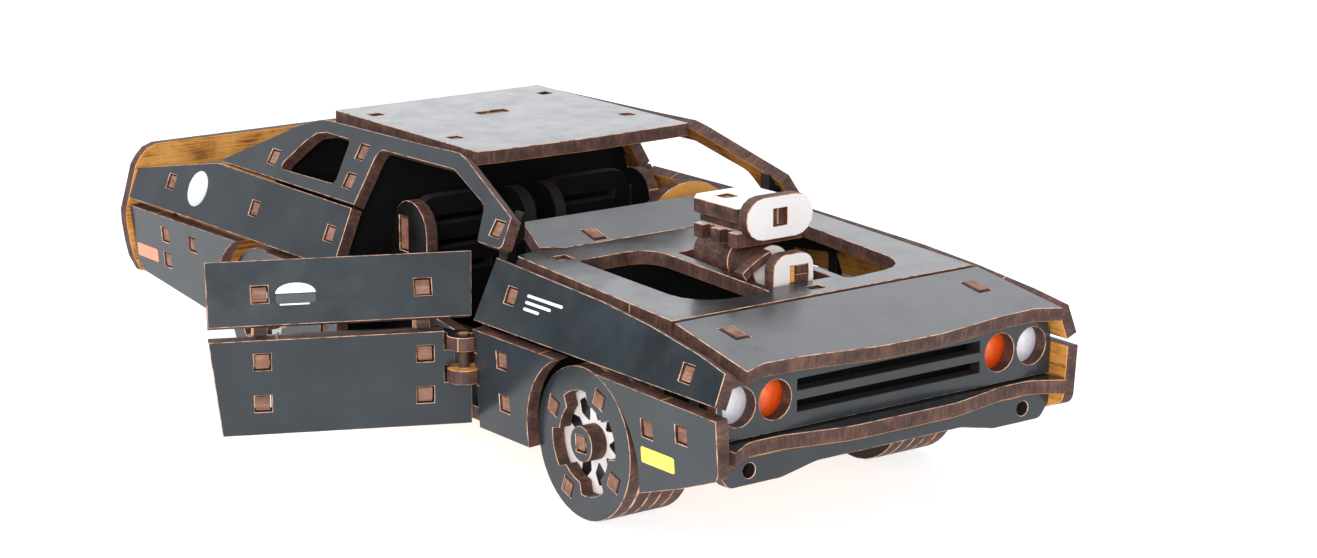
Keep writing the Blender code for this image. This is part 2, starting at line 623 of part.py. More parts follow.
def build_door(side, printed, raw):
    name = SIDE_NAMES[side]
    upper_low = WAIST_HIGH_Z + 0.2
    corners = [(DOOR_FRONT_Y, upper_low), (DOOR_FRONT_Y - 0.9, 48.3), (DOOR_REAR_Y, 48.3)]
    corners.append((DOOR_REAR_Y, upper_low))
    holes = slots_at(UPPER, [(y, 41.6) for y in DOOR_RIB_Y])
    upper = side_sheet(f"{name}_door_upper_skin", side, UPPER, corners, holes, printed)

    behind_pin, behind_lug = DOOR_AXIS_Y + 1.9, DOOR_AXIS_Y + LUG_RADIUS + 0.5
    lower_top = 32.4
    front = [(DOOR_FRONT_Y, SILL_Z), (DOOR_FRONT_Y, BODY_LUG_Z - GAP), (behind_lug, BODY_LUG_Z - GAP)]
    front += [(behind_lug, BODY_LUG_Z + SHEET + GAP), (behind_pin, BODY_LUG_Z + SHEET + GAP)]
    front += [(behind_pin, DOOR_LUG_Z - GAP), (behind_lug, DOOR_LUG_Z - GAP), (behind_lug, lower_top)]
    outline = [*front, (DOOR_REAR_Y, lower_top), (DOOR_REAR_Y - 2.4, SILL_Z)]
    holes = slots_at(LOWER, [(y, z) for y in DOOR_RIB_Y for z in (18.4, 27.6)])
    lower = side_sheet(f"{name}_door_lower_skin", side, LOWER, outline, holes, printed)

    ribs = []
    inner_x = 38.6
    for i, y in enumerate(DOOR_RIB_Y):
        rib = [edge(LOWER, 14.6), *tab(LOWER, 18.4), *tab(LOWER, 27.6), edge(LOWER, 32.6)]
        rib += [edge(UPPER, 35.2), *tab(UPPER, 41.6), edge(UPPER, 44.4), (36.4, 44.4), (inner_x, 14.6)]
        rib = [(side * a, b) for a, b in rib]
        rib_name = f"{name}_door_frame" if i == 0 else f"{name}_door_rear_rib"
        ribs.append(cross_sheet(rib_name, y - SHEET / 2, rib, [], raw))
    lug = arc(DOOR_AXIS_X, DOOR_AXIS_Y, LUG_RADIUS, -153.0, 115.0, 15)
    plate = [(39.6, 83.0), (39.6, 42.8), (43.4, 39.8), *lug, (44.0, 42.1), (44.0, 83.0)]
    plate = [(side * x, y) for x, y in plate]
    bore = circle(side * DOOR_AXIS_X, DOOR_AXIS_Y, PIN_BORE, 16)
    top = DOOR_LUG_Z + SHEET
    hinge = level_sheet(f"{name}_door_hinge_plate", 0.0, top, 0.0, plate, [bore], raw)
    join(ribs[0], ribs[1], hinge)

    turn = RIGHT_DOOR_OPEN if side == RIGHT else 0.0
    axis = axis_empty(f"{name}_door_axis", side * DOOR_AXIS_X, DOOR_AXIS_Y, BODY_LUG_Z, turn)
    hang_on(axis, upper, lower, *ribs, hinge)


def build_hinge_bracket(side, material):
    """The lug that stays with the body, with the pin standing up from it."""
    name = SIDE_NAMES[side]
    lug = arc(DOOR_AXIS_X, DOOR_AXIS_Y, LUG_RADIUS, -150.0, 150.0, 15)
    plate = [*lug, (42.8, 40.1), (42.8, 36.5)]
    plate = [(side * x, y) for x, y in plate]
    top = BODY_LUG_Z + SHEET
    bracket = level_sheet(f"{name}_hinge_bracket", 0.0, top, 0.0, plate, [], material)
    foot, tip = BODY_LUG_Z + 1.0, DOOR_LUG_Z + SHEET + 0.3
    upright = place((side * DOOR_AXIS_X, DOOR_AXIS_Y, foot), (1.0, 0.0, 0.0), (0.0, 1.0, 0.0))
    length = tip - foot
    rod = [(0.0, 0.0), (PIN_RADIUS, 0.0), (PIN_RADIUS, length), (0.0, length)]
    join(bracket, turned(f"{name}_hinge_pin", rod, upright, material, 12))


# Wheels -----------------------------------------------------------------------------------


def rim_window():
    """The rim's opening: a circle with four pads that reach in towards the hub."""
    loop = []
    for pad in PAD_ANGLES:
        loop += arc(0.0, 0.0, PAD_REACH, pad - 19.0, pad + 19.0, 3)
        loop += arc(0.0, 0.0, WINDOW_RADIUS, pad + 24.0, pad + 66.0, 5)
    return loop


def build_axle(end, axle_y, printed, laminated, dowel):
    pieces = []
    for side in (RIGHT, LEFT):
        name = f"{end}_{SIDE_NAMES[side]}"
        slots = []
        for turn in PAD_ANGLES:
            a = math.radians(turn)
            middle = (PAD_SLOT_RADIUS * math.cos(a), PAD_SLOT_RADIUS * math.sin(a))
            slots.append(square(*middle, PAD_SLOT, PAD_SLOT, turn + PAD_SLOT_TURN))
        hub = (side * WHEEL_FACE_X, axle_y, WHEEL_RADIUS)
        outward = place(hub, (0.0, side, 0.0), (0.0, 0.0, 1.0))
        rim = circle(0.0, 0.0, WHEEL_RADIUS, 48)
        pieces.append(sheet(f"{name}_rim_ring", rim, [rim_window(), *slots], outward, printed))

        back = WHEEL_INNER_X - WHEEL_FACE_X
        face = -SHEET - 0.3
        profile = [(AXLE_BORE, back), (WHEEL_RADIUS, back), (WHEEL_RADIUS, face)]
        profile += [(HUB_RADIUS, face), (HUB_RADIUS, HUB_PROUD), (AXLE_BORE, HUB_PROUD)]
        pieces.append(turned(f"{name}_tyre_core", profile, outward, laminated, 48))
    reach = WHEEL_FACE_X + HUB_PROUD - 0.2
    along_x = place((-reach, axle_y, WHEEL_RADIUS), (0.0, 1.0, 0.0), (0.0, 0.0, 1.0))
    rod = [(0.0, 0.0), (AXLE_RADIUS, 0.0), (AXLE_RADIUS, 2 * reach), (0.0, 2 * reach)]
    pieces.append(turned(f"{end}_axle", rod, along_x, dowel, 16))
    hang_on(axis_empty(f"{end}_axle_axis", 0.0, axle_y, WHEEL_RADIUS), *pieces)


def main():
    clear_scene()
    slate = finish("printed slate plywood", (0.075, 0.092, 0.105), 0.35)
    charred = finish("charred plywood edge", (0.085, 0.040, 0.026), 0.75)
    raw = finish("raw plywood", (0.67, 0.31, 0.07), 0.65)
    white = finish("printed white plywood", (0.82, 0.78, 0.77), 0.45)
    dowel = finish("turned dowel", (0.45, 0.25, 0.11), 0.6)

    build_chassis(raw)
    build_cross_frames(slate)
    build_nose_parts(slate)
    build_top_panels(slate)
    build_engine(white, charred)
    build_seats(slate)
    build_steering(slate)
    for side in (RIGHT, LEFT):
        build_lower_skins(side, slate)
        build_upper_skins(side, slate)
        build_hinge_bracket(side, raw)
        build_door(side, slate, raw)
    build_axle("front", 0.0, slate, charred, dowel)
    build_axle("rear", WHEELBASE, slate, charred, dowel)


main()
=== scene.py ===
"""Finishes and fine parts of a slot-together plywood coupe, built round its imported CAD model.

Every flat part of the real model is 3 mm birch plywood that is printed and lacquered on one
face, cut out by laser and pushed together by square tabs. So each board here has a glossy
printed face, a thin line where the lacquer burnt back, a charred edge and a raw rear face.

Places are in shop millimetres: x across the car with its left side at +x, y back from the
front axle and z up from the ground. Only make_object turns them into the model's own metres.
"""

from __future__ import annotations

import json
import logging
import math
import sys
from collections.abc import Callable
from dataclasses import dataclass, field, replace
from enum import Enum
from functools import partial

import bmesh
import bpy
import numpy as np
from mathutils import Matrix, Vector
from mathutils.geometry import tessellate_polygon

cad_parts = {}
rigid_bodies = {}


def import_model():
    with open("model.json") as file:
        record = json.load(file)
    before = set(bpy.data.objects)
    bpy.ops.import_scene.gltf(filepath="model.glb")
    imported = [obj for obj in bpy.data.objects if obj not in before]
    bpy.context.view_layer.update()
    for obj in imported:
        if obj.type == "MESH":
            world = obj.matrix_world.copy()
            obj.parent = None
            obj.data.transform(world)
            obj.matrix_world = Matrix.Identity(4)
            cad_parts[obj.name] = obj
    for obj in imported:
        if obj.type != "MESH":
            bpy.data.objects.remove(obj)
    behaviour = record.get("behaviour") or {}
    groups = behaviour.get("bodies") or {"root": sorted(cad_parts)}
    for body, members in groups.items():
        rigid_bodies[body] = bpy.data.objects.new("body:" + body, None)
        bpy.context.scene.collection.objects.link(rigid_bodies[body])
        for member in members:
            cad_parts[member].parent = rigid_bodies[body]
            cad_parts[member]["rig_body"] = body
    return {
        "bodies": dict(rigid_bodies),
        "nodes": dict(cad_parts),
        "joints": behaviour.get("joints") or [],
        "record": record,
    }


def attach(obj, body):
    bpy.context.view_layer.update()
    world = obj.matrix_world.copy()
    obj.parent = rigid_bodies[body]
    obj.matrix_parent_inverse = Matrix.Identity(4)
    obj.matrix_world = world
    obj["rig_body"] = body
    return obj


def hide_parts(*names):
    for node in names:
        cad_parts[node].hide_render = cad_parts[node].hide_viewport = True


LOG = logging.getLogger("coupe")

Material = bpy.types.Material
AddNode = Callable[..., bpy.types.Node]

MM = 0.001
MODEL_ORIGIN = np.array([0.0, 66.0, 11.0])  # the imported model's origin, in shop millimetres
SHEET = 3.0  # plywood thickness
ROUND_CORNERS = 12  # fewest corners of a round hole
CHAMFER = 0.12  # width of the line where the lacquer burnt back
CUT_MAP = "cut"  # UV map in millimetres: along a cut, and across the sheet's thickness
FILM = 0.1  # thickness of a printed patch
FILM_CHAMFER = 0.01
FILM_PROUD = 0.05  # how far a printed patch stands off its board
BODY = "car_body"
ALONG = np.array([0.0, 1.0, 0.0])  # towards the tail
UP = np.array([0.0, 0.0, 1.0])
WHEELBASE = 131.3
WHEEL_RADIUS = 16.1
DOOR_AXIS = np.array([47.7, 38.3])
RIGHT_DOOR_OPEN = math.radians(65.0)


class Side(Enum):
    """One side of the car, by the sign of its x."""

    RIGHT = -1
    LEFT = 1

    @property
    def word(self) -> str:
        """The side's name as node names spell it."""
        return self.name.lower()


class Toward(Enum):
    """The way a board's printed face looks."""

    FRONT = (0.0, -1.0, 0.0)
    REAR = (0.0, 1.0, 0.0)
    UP = (0.0, 0.0, 1.0)


# Materials --------------------------------------------------------------------------------


def srgb(code: str) -> tuple[float, float, float, float]:
    """Turns an sRGB hex colour into linear RGBA.

    Each channel c becomes c / 12.92 up to 0.04045, and ((c + 0.055) / 1.055) ^ 2.4 above it.

    Args:
        code: Six hex digits after a hash sign.

    Returns:
        Linear red, green and blue, with full alpha.
    """
    channels = [int(code[i : i + 2], 16) / 255 for i in (1, 3, 5)]
    linear = [c / 12.92 if c <= 0.04045 else ((c + 0.055) / 1.055) ** 2.4 for c in channels]
    return (*linear, 1.0)


def wire(tree: bpy.types.NodeTree, node: bpy.types.Node, inputs: dict) -> None:
    """Sets a node's inputs, or links them.

    Args:
        tree: The node tree.
        node: The node that gets the inputs.
        inputs: For each input, by name or number, a value, a source socket, or a source node
            that gives its first output in use.
    """
    for key, value in inputs.items():
        if isinstance(value, bpy.types.Node):
            value = next(socket for socket in value.outputs if socket.enabled)
        if isinstance(value, bpy.types.NodeSocket):
            tree.links.new(value, node.inputs[key])
        else:
            node.inputs[key].default_value = value


def add_node(
    tree: bpy.types.NodeTree,
    kind: str,
    inputs: dict | None = None,
    stops: list[tuple[float, str]] | None = None,
    **settings: object,
) -> bpy.types.Node:
    """Adds one node with its settings and links.

    Args:
        tree: The node tree that gets the node.
        kind: Blender's name for the node's type, after "ShaderNode".
        inputs: Its inputs, as wire takes them.
        stops: Positions and hex colours of a colour ramp, in rising order.
        settings: The node's own properties.

    Returns:
        The new node.
    """
    node = tree.nodes.new(f"ShaderNode{kind}")
    for key, value in settings.items():
        setattr(node, key, value)
    wire(tree, node, inputs or {})
    for index, (position, code) in enumerate(stops or []):
        elements = node.color_ramp.elements
        element = elements[index] if index < 2 else elements.new(position)
        element.position = position
        element.color = srgb(code)
    return node


def per(size: float) -> float:
    """Texture scale in metres for a feature of that size in millimetres."""
    return 1.0 / (size * MM)


@dataclass(frozen=True)
class Finish:
    """What every finish has: a name, a roughness and a set of nodes that colour it."""

    name: str
    roughness: float

    def make(self) -> Material:
        """Makes the material, with the shader's inputs that paint gives.

        Returns:
            The new material.
        """
        material = bpy.data.materials.new(self.name)
        material.use_nodes = True
        tree = material.node_tree
        inputs = {"Roughness": self.roughness, **self.paint(partial(add_node, tree))}
        wire(tree, tree.nodes["Principled BSDF"], inputs)
        return material

    def paint(self, node: AddNode) -> dict:
        """The shader's inputs, by name, from nodes that the given function adds."""
        raise NotImplementedError


@dataclass(frozen=True)
class PrintedFilm(Finish):
    """UV-cured ink under satin lacquer on sanded birch.

    The eye sees an even colour with soft reflections, a faint orange peel, patches that are
    a little duller, and a few specks of dust caught in the lacquer.
    """

    ink: str = "#20262A"
    worn: str = "#2A3135"
    dust: str = "#7C8286"
    ior: float = 1.5

    def paint(self, node: AddNode) -> dict:
        """Ink, specks, dull patches and orange peel.

        Args:
            node: Adds a node of a kind, with its inputs, to the material's tree.

        Returns:
            The shader's inputs, by name.
        """
        place = node("TexCoord").outputs["Object"]
        cloud = node("TexNoise", {"Vector": place, "Scale": per(14.0), "Detail": 3.0})
        tone = node("ValToRGB", {"Fac": cloud}, [(0.35, self.ink), (0.7, self.worn)])
        cells = node("TexVoronoi", {"Vector": place, "Scale": per(6.5)})
        speck = node("Math", {0: cells, 1: 0.018}, operation="LESS_THAN")
        colour = node("Mix", {0: speck, 6: tone, 7: srgb(self.dust)}, data_type="RGBA")
        patchy = {"Scale": per(9.0), "Detail": 4.0, "Roughness": 0.65}
        dull = node("TexNoise", {"Vector": place, **patchy})
        ends = {"To Min": self.roughness - 0.05, "To Max": self.roughness + 0.09}
        gloss = node("MapRange", {"Value": dull, "From Min": 0.35, "From Max": 0.7, **ends})
        peel = node("TexNoise", {"Vector": place, "Scale": per(2.6), "Detail": 2.0})
        bump = node("Bump", {"Height": peel, "Strength": 0.35, "Distance": 0.02 * MM})
        return {"IOR": self.ior, "Base Color": colour, "Roughness": gloss, "Normal": bump}


@dataclass(frozen=True)
class CharredEdge(Finish):
    """The laser-cut edge of birch plywood.

    The beam leaves sooty streaks across the sheet's thickness. The three plies show as
    faint bands, and small pale nicks stay where the part was held in its sheet.
    """

    soot: str = "#231410"
    burnt: str = "#472C23"
    wiped: str = "#6B493B"
    nick: str = "#B08350"
    nick_spacing: float = 173.0
    nick_width: float = 0.45
    ply_contrast: float = 0.2

    def paint(self, node: AddNode) -> dict:
        """Streaks and patches of soot, plies and nicks.

        Args:
            node: Adds a node of a kind, with its inputs, to the material's tree.

        Returns:
            The shader's inputs, by name.
        """
        cut = node("UVMap", uv_map=CUT_MAP)
        place = node("TexCoord").outputs["Object"]
        drawn = node("Mapping", {"Vector": cut, "Scale": (1 / 0.7, 1 / 2.4, 1.0)})
        ragged = {"Scale": 1.0, "Detail": 4.0, "Roughness": 0.6}
        streak = node("TexNoise", {"Vector": drawn, **ragged})
        patch = node("TexNoise", {"Vector": place, "Scale": per(4.0), "Detail": 3.0})
        both = node("Mix", {0: 0.45, 2: streak, 3: patch}, data_type="FLOAT")
        stops = [(0.34, self.soot), (0.5, self.burnt), (0.66, self.wiped)]
        tone = node("ValToRGB", {"Fac": both}, stops)
        axes = node("SeparateXYZ", {"Vector": cut})
        across = {"Value": axes.outputs["Y"], "From Min": 0.0, "From Max": SHEET}
        stops = [(0.3, "#FFFFFF"), (0.36, "#9A8F88"), (0.64, "#A89C94"), (0.7, "#FFFFFF")]
        band = node("ValToRGB", {"Fac": node("MapRange", across)}, stops)
        mixed = {0: self.ply_contrast, 6: tone, 7: band}
        layered = node("Mix", mixed, data_type="RGBA", blend_type="MULTIPLY")
        along = {0: axes.outputs["X"], 1: self.nick_spacing}
        stretch = node("Math", along, operation="FLOORED_MODULO")
        held = node("Math", {0: stretch, 1: self.nick_width}, operation="LESS_THAN")
        colour = node("Mix", {0: held, 6: layered, 7: srgb(self.nick)}, data_type="RGBA")
        bump = node("Bump", {"Height": both, "Strength": 0.6, "Distance": 0.12 * MM})
        return {"Base Color": colour, "Normal": bump}


@dataclass(frozen=True)
class ScorchLine(Finish):
    """The rim of a printed face, where the beam burnt the lacquer back to tanned wood.

    It is a thin pale line that breaks into browner stretches along the cut.
    """

    pale: str = "#CFAE94"
    tan: str = "#B98C70"
    brown: str = "#6E4A3A"

    def paint(self, node: AddNode) -> dict:
        """Stretches of pale, tan and brown.

        Args:
            node: Adds a node of a kind, with its inputs, to the material's tree.

        Returns:
            The shader's inputs, by name.
        """
        place = node("TexCoord").outputs["Object"]
        run = node("TexNoise", {"Vector": place, "Scale": per(2.2), "Detail": 4.0})
        stops = [(0.36, self.brown), (0.48, self.tan), (0.62, self.pale)]
        return {"Base Color": node("ValToRGB", {"Fac": run}, stops)}


@dataclass(frozen=True)
class RawPly(Finish):
    """The unprinted rear face of birch plywood, browned by the laser's heat and smoke.

    Long grain lines and short dark pores run along the sheet, with patches of smoke over them.
    """

    light: str = "#DDA257"
    mid: str = "#C98A3C"
    smoke: str = "#7B4A1F"

    def paint(self, node: AddNode) -> dict:
        """Grain, smoke and pores.

        Args:
            node: Adds a node of a kind, with its inputs, to the material's tree.

        Returns:
            The shader's inputs, by name.
        """
        flat = node("UVMap", uv_map=CUT_MAP)
        place = node("TexCoord").outputs["Object"]
        drawn = node("Mapping", {"Vector": flat, "Scale": (1 / 16.0, 1 / 0.8, 1.0)})
        grain = node("TexNoise", {"Vector": drawn, "Scale": 1.0, "Detail": 5.0})
        smoke = node("TexNoise", {"Vector": place, "Scale": per(8.0), "Detail": 4.0})
        both = node("Mix", {0: 0.45, 2: grain, 3: smoke}, data_type="FLOAT")
        stops = [(0.36, self.smoke), (0.46, self.mid), (0.6, self.light)]
        tone = node("ValToRGB", {"Fac": both}, stops)
        drawn = node("Mapping", {"Vector": flat, "Scale": (1 / 2.4, 1 / 0.22, 1.0)})
        pores = node("TexNoise", {"Vector": drawn, "Scale": 1.0, "Detail": 1.0})
        deep = node("Math", {0: pores, 1: 0.68}, operation="GREATER_THAN")
        colour = node("Mix", {0: deep, 6: tone, 7: srgb(self.smoke)}, data_type="RGBA")
        bump = node("Bump", {"Height": grain, "Strength": 0.4, "Distance": 0.06 * MM})
        return {"Base Color": colour, "Normal": bump}


@dataclass(frozen=True)
class RoundInk(Finish):
    """A printed disc, such as a lamp or a fuel cap: ink that is lightest near its middle.

    The tone follows the distance from a point a little off the disc's middle, so that the
    flat print looks domed.
    """

    radius: float = 4.4
    highlight: tuple[float, float] = (-0.9, 1.1)
    tones: tuple[str, str, str] = ("#FF9A4E", "#E65C16", "#A93A0C")

    def paint(self, node: AddNode) -> dict:
        """Rings of tone round the highlight, made uneven by a fine grain.

        Args:
            node: Adds a node of a kind, with its inputs, to the material's tree.

        Returns:
            The shader's inputs, by name.
        """
        flat = node("UVMap", uv_map=CUT_MAP)
        off = (-self.highlight[0], -self.highlight[1], 0.0)
        shift = node("Mapping", {"Vector": flat, "Location": off})
        reach = node("VectorMath", {0: shift}, operation="LENGTH")
        grain = node("TexNoise", {"Vector": flat, "Scale": 0.8, "Detail": 3.0})
        uneven = node("Math", {0: grain, 1: 2.4, 2: reach}, operation="MULTIPLY_ADD")
        ends = {"From Min": 1.2, "From Max": self.radius + 2.4}
        share = node("MapRange", {"Value": uneven, **ends})
        stops = list(zip((0.0, 0.3, 0.95), self.tones))
        return {"Base Color": node("ValToRGB", {"Fac": share}, stops)}


@dataclass(frozen=True)
class LightTable(Finish):
    """A matt white light table: almost white, faintly mottled, and lit from below."""

    light: str = "#B2B2B4"
    shade: str = "#AEAEB0"
    glow: float = 0.78

    def paint(self, node: AddNode) -> dict:
        """A faint mottle and an even glow.

        Args:
            node: Adds a node of a kind, with its inputs, to the material's tree.

        Returns:
            The shader's inputs, by name.
        """
        place = node("TexCoord").outputs["Object"]
        mottle = node("TexNoise", {"Vector": place, "Scale": per(60.0)})
        tone = node("ValToRGB", {"Fac": mottle}, [(0.4, self.shade), (0.6, self.light)])
        glow = {"Emission Color": srgb("#FFFFFF"), "Emission Strength": self.glow}
        return {"Base Color": tone, "Specular IOR Level": 0.0, **glow}


@dataclass(frozen=True)
class BoardLook:
    """The six materials of one board, in the order of its material slots."""

    front: Material
    line: Material
    edge: Material
    back: Material
    tab: Material
    soot: Material

    @property
    def slots(self) -> list[Material]:
        """The materials as a list."""
        return [self.front, self.line, self.edge, self.back, self.tab, self.soot]


FRONT, LINE, EDGE, BACK, TAB, SOOT_AND_SHADE = range(6)


def made(finish: Finish) -> Material:
    """A dataclass field whose value is the material of that finish."""
    return field(default_factory=finish.make)


@dataclass
class Palette:
    """Every material of the model, made once."""

    slate: Material = made(PrintedFilm("slate_ink_under_satin_lacquer", 0.2))
    white: Material = made(
        PrintedFilm("white_ink_under_satin_lacquer", 0.3, "#E2DEDD", "#D8D2D0", "#B9AFA8")
    )
    black: Material = made(
        PrintedFilm("black_ink_under_satin_lacquer", 0.3, "#0B0B0C", "#121314", "#3A3A3A")
    )
    char: Material = made(CharredEdge("laser_charred_plywood_edge", 0.68))
    tab: Material = made(
        CharredEdge(
            "laser_charred_tab_end",
            0.6,
            soot="#4B2E22",
            burnt="#7B523F",
            wiped="#9E7660",
            nick_width=0.0,
            ply_contrast=0.0,
        )
    )
    # Laser char darkened to near black: painted shade in narrow slots, small holes, lamp hole
    # walls, the wheels' inner faces and the cabin boards' cuts.
    soot: Material = made(
        CharredEdge(
            "sooty_narrow_slot",
            0.8,
            soot="#0A0605",
            burnt="#140C09",
            wiped="#22150F",
            nick_width=0.0,
            ply_contrast=0.0,
        )
    )
    line: Material = made(ScorchLine("scorched_lacquer_rim", 0.5))
    tan: Material = made(
        ScorchLine("tanned_rim_of_white_print", 0.5, "#D9A679", "#B97D4C", "#8A5330")
    )
    raw: Material = made(RawPly("raw_birch_plywood_face", 0.55))
    # A darker copy of the raw face for the cabin sides' inner faces: painted shade.
    smoky: Material = made(
        RawPly("smoked_birch_plywood_face", 0.6, "#A9702C", "#80501F", "#3C2210")
    )
    # Matt near black for boards inside the car: painted shade.
    matt: Material = made(
        PrintedFilm("matt_black_cabin_ink", 0.75, "#060607", "#0A0A0B", "#1C1C1C", 1.25)
    )
    dowel: Material = made(
        CharredEdge("turned_birch_dowel", 0.6, soot="#6E4A30", burnt="#9A7048", wiped="#BE9468")
    )

    def ink(self, name: str, ink: str, worn: str) -> BoardLook:
        """A thin printed patch that has the same ink on all its sides."""
        return self.all_over(PrintedFilm(name, 0.28, ink=ink, worn=worn, dust=worn).make())

    def disc(self, name: str, tones: tuple[str, str, str], radius: float) -> BoardLook:
        """A thin printed disc that is lit from a little off its middle."""
        return self.all_over(RoundInk(name, 0.25, radius=radius, tones=tones).make())

    def lamp(self, name: str, tones: tuple[str, str, str], radius: float) -> BoardLook:
        """A printed lamp disc whose cut edge and back are near black: painted shade on the hole
        wall.
        """
        return replace(self.disc(name, tones, radius), edge=self.soot, back=self.soot)

    @staticmethod
    def all_over(material: Material) -> BoardLook:
        """A board with one material on all its sides."""
        return BoardLook(*[material] * 6)

    @property
    def board(self) -> BoardLook:
        """A board printed slate."""
        return BoardLook(self.slate, self.line, self.char, self.raw, self.tab, self.soot)

    @property
    def white_board(self) -> BoardLook:
        """A board printed white."""
        return BoardLook(self.white, self.tan, self.char, self.raw, self.char, self.soot)

    @property
    def dark_board(self) -> BoardLook:
        """A board inside the car, made matt near black on both faces and its cut as painted shade.
        """
        return BoardLook(self.matt, self.soot, self.soot, self.matt, self.tab, self.soot)

    @property
    def brown_board(self) -> BoardLook:
        """A small part whose faces are scorched as brown as its edges."""
        return replace(self.board, front=self.char, tab=self.char, back=self.char)

    @property
    def raw_board(self) -> BoardLook:
        """A board with no print."""
        return BoardLook(self.raw, self.char, self.char, self.raw, self.tab, self.soot)

    @property
    def plug(self) -> BoardLook:
        """The end of a tab that shows in a slot."""
        return BoardLook(self.tab, self.char, self.char, self.char, self.char, self.soot)


# Shapes -----------------------------------------------------------------------------------


@dataclass(frozen=True)
class Plane:
    """A board's own axes: its outline lies along u and v, and its printed face looks along n."""

    origin: np.ndarray
    u: np.ndarray
    v: np.ndarray

    @property
    def n(self) -> np.ndarray:
        """The way the printed face looks."""
        return np.cross(self.u, self.v)

    def at(self, flat: np.ndarray, depth: float) -> np.ndarray:
        """Shop places of flat points, at a depth behind the printed face."""
        return self.origin + flat[:, :1] * self.u + flat[:, 1:] * self.v - depth * self.n

    def raised(self, by: float) -> Plane:
        """The same plane, moved out along its normal."""
        return replace(self, origin=self.origin + by * self.n)

    def swung(self, angle: float) -> Plane:
        """Turns the plane about the right door's hinge pin.

        Args:
            angle: The turn in radians, seen from above.

        Returns:
            The turned plane, or the same plane if the angle is zero.
        """
        if angle == 0.0:
            return self
        c, s = math.cos(angle), math.sin(angle)
        turn = np.array([[c, -s, 0.0], [s, c, 0.0], [0.0, 0.0, 1.0]])
        pin = np.array([-DOOR_AXIS[0], DOOR_AXIS[1], 0.0])
        return Plane(pin + turn @ (self.origin - pin), turn @ self.u, turn @ self.v)


def cross_plane(y: float, x: float = 0.0, z: float = 0.0) -> Plane:
    """A plane that looks ahead at y, with its own origin at (x, z) and u along x."""
    return Plane(np.array([x, y, z]), np.array([1.0, 0.0, 0.0]), UP)


def side_plane(sign: float, x: float, y: float, z: float) -> Plane:
    """A plane that looks out at (x, y, z): u is y on the left side and -y on the right."""
    return Plane(np.array([x, y, z]), sign * ALONG, UP)


def level_plane(z: float) -> Plane:
    """A plane that looks up at height z, with u along x and v along y."""
    return Plane(np.array([0.0, 0.0, z]), np.array([1.0, 0.0, 0.0]), ALONG)


def cross2(a: np.ndarray, b: np.ndarray) -> np.ndarray:
    """The z part of the cross products of rows of flat vectors."""
    return a[:, 0] * b[:, 1] - a[:, 1] * b[:, 0]


def unit_steps(loop: np.ndarray) -> np.ndarray:
    """Unit vectors from each point of a closed loop to the next."""
    steps = np.roll(loop, -1, axis=0) - loop
    return steps / np.linalg.norm(steps, axis=1, keepdims=True)


def inset(loop: np.ndarray, by: float) -> np.ndarray:
    """Moves a closed loop to its left.

    Each corner moves along its mitre: by (a + b) / (1 + a.b), where a and b are the left
    normals of the two edges that meet there.

    Args:
        loop: Corners in order, with the sheet on the left.
        by: How far each edge moves.

    Returns:
        The moved corners.
    """
    step = unit_steps(loop)
    left = np.stack([-step[:, 1], step[:, 0]], axis=1)
    before = np.roll(left, 1, axis=0)
    spread = np.maximum(1.0 + np.sum(left * before, axis=1, keepdims=True), 0.4)
    return loop + by * (left + before) / spread


def tab_tips(loop: np.ndarray) -> np.ndarray:
    """Marks the edges of a loop that are the ends of tabs.

    A tab's end is about one sheet or two and a half sheets long, and both of its corners
    turn out by about a right angle.

    Args:
        loop: Corners in order, with the sheet on the left.

    Returns:
        One true or false for the edge that starts at each corner.
    """
    length = np.linalg.norm(np.roll(loop, -1, axis=0) - loop, axis=1)
    step = unit_steps(loop)
    turn = cross2(np.roll(step, 1, axis=0), step)
    wide = ((length > 2.5) & (length < 3.4)) | ((length > 7.2) & (length < 7.9))
    return wide & (turn > 0.9) & (np.roll(turn, -1) > 0.9)


def is_narrow(loop: np.ndarray) -> bool:
    """Whether a loop is a hole that fills with soot.

    A loop is a hole if its signed area, half the sum of x_i y_(i+1) - y_i x_(i+1), is
    negative. Its walls get the near-black painted shade if it is a long slot or a small round
    hole.

    Args:
        loop: Corners in order, with the sheet on the left.

    Returns:
        True for such a hole.
    """
    wide, high = np.ptp(loop, axis=0)
    x, y = loop.T
    turns_right = np.sum(x * np.roll(y, -1) - y * np.roll(x, -1)) < 0.0
    slot = min(wide, high) < SHEET - 0.2 and max(wide, high) > 4 * SHEET
    small = len(loop) >= ROUND_CORNERS and max(wide, high) < 2 * SHEET
    return bool(turns_right and (slot or small))


def make_object(
    name: str,
    points: np.ndarray,
    faces: list[list[int]],
    materials: list[Material],
    slots: np.ndarray,
    cut: np.ndarray,
) -> bpy.types.Object:
    """Puts computed arrays into a mesh object at the origin.

    Args:
        name: The piece's name.
        points: Vertices in shop millimetres.
        faces: Vertex numbers of each face.
        materials: The object's material slots.
        slots: Material slot number of each face.
        cut: UV place of each face corner, in millimetres.

    Returns:
        The new object, linked to the scene.
    """
    mesh = bpy.data.meshes.new(name)
    mesh.from_pydata((points - MODEL_ORIGIN) * MM, [], faces)
    for material in materials:
        mesh.materials.append(material)
    mesh.polygons.foreach_set("material_index", np.asarray(slots, np.int32))
    uv = mesh.uv_layers.new(name=CUT_MAP)
    uv.data.foreach_set("uv", np.asarray(cut, np.float32).ravel())
    mesh.update()
    obj = bpy.data.objects.new(name, mesh)
    bpy.context.scene.collection.objects.link(obj)
    return obj


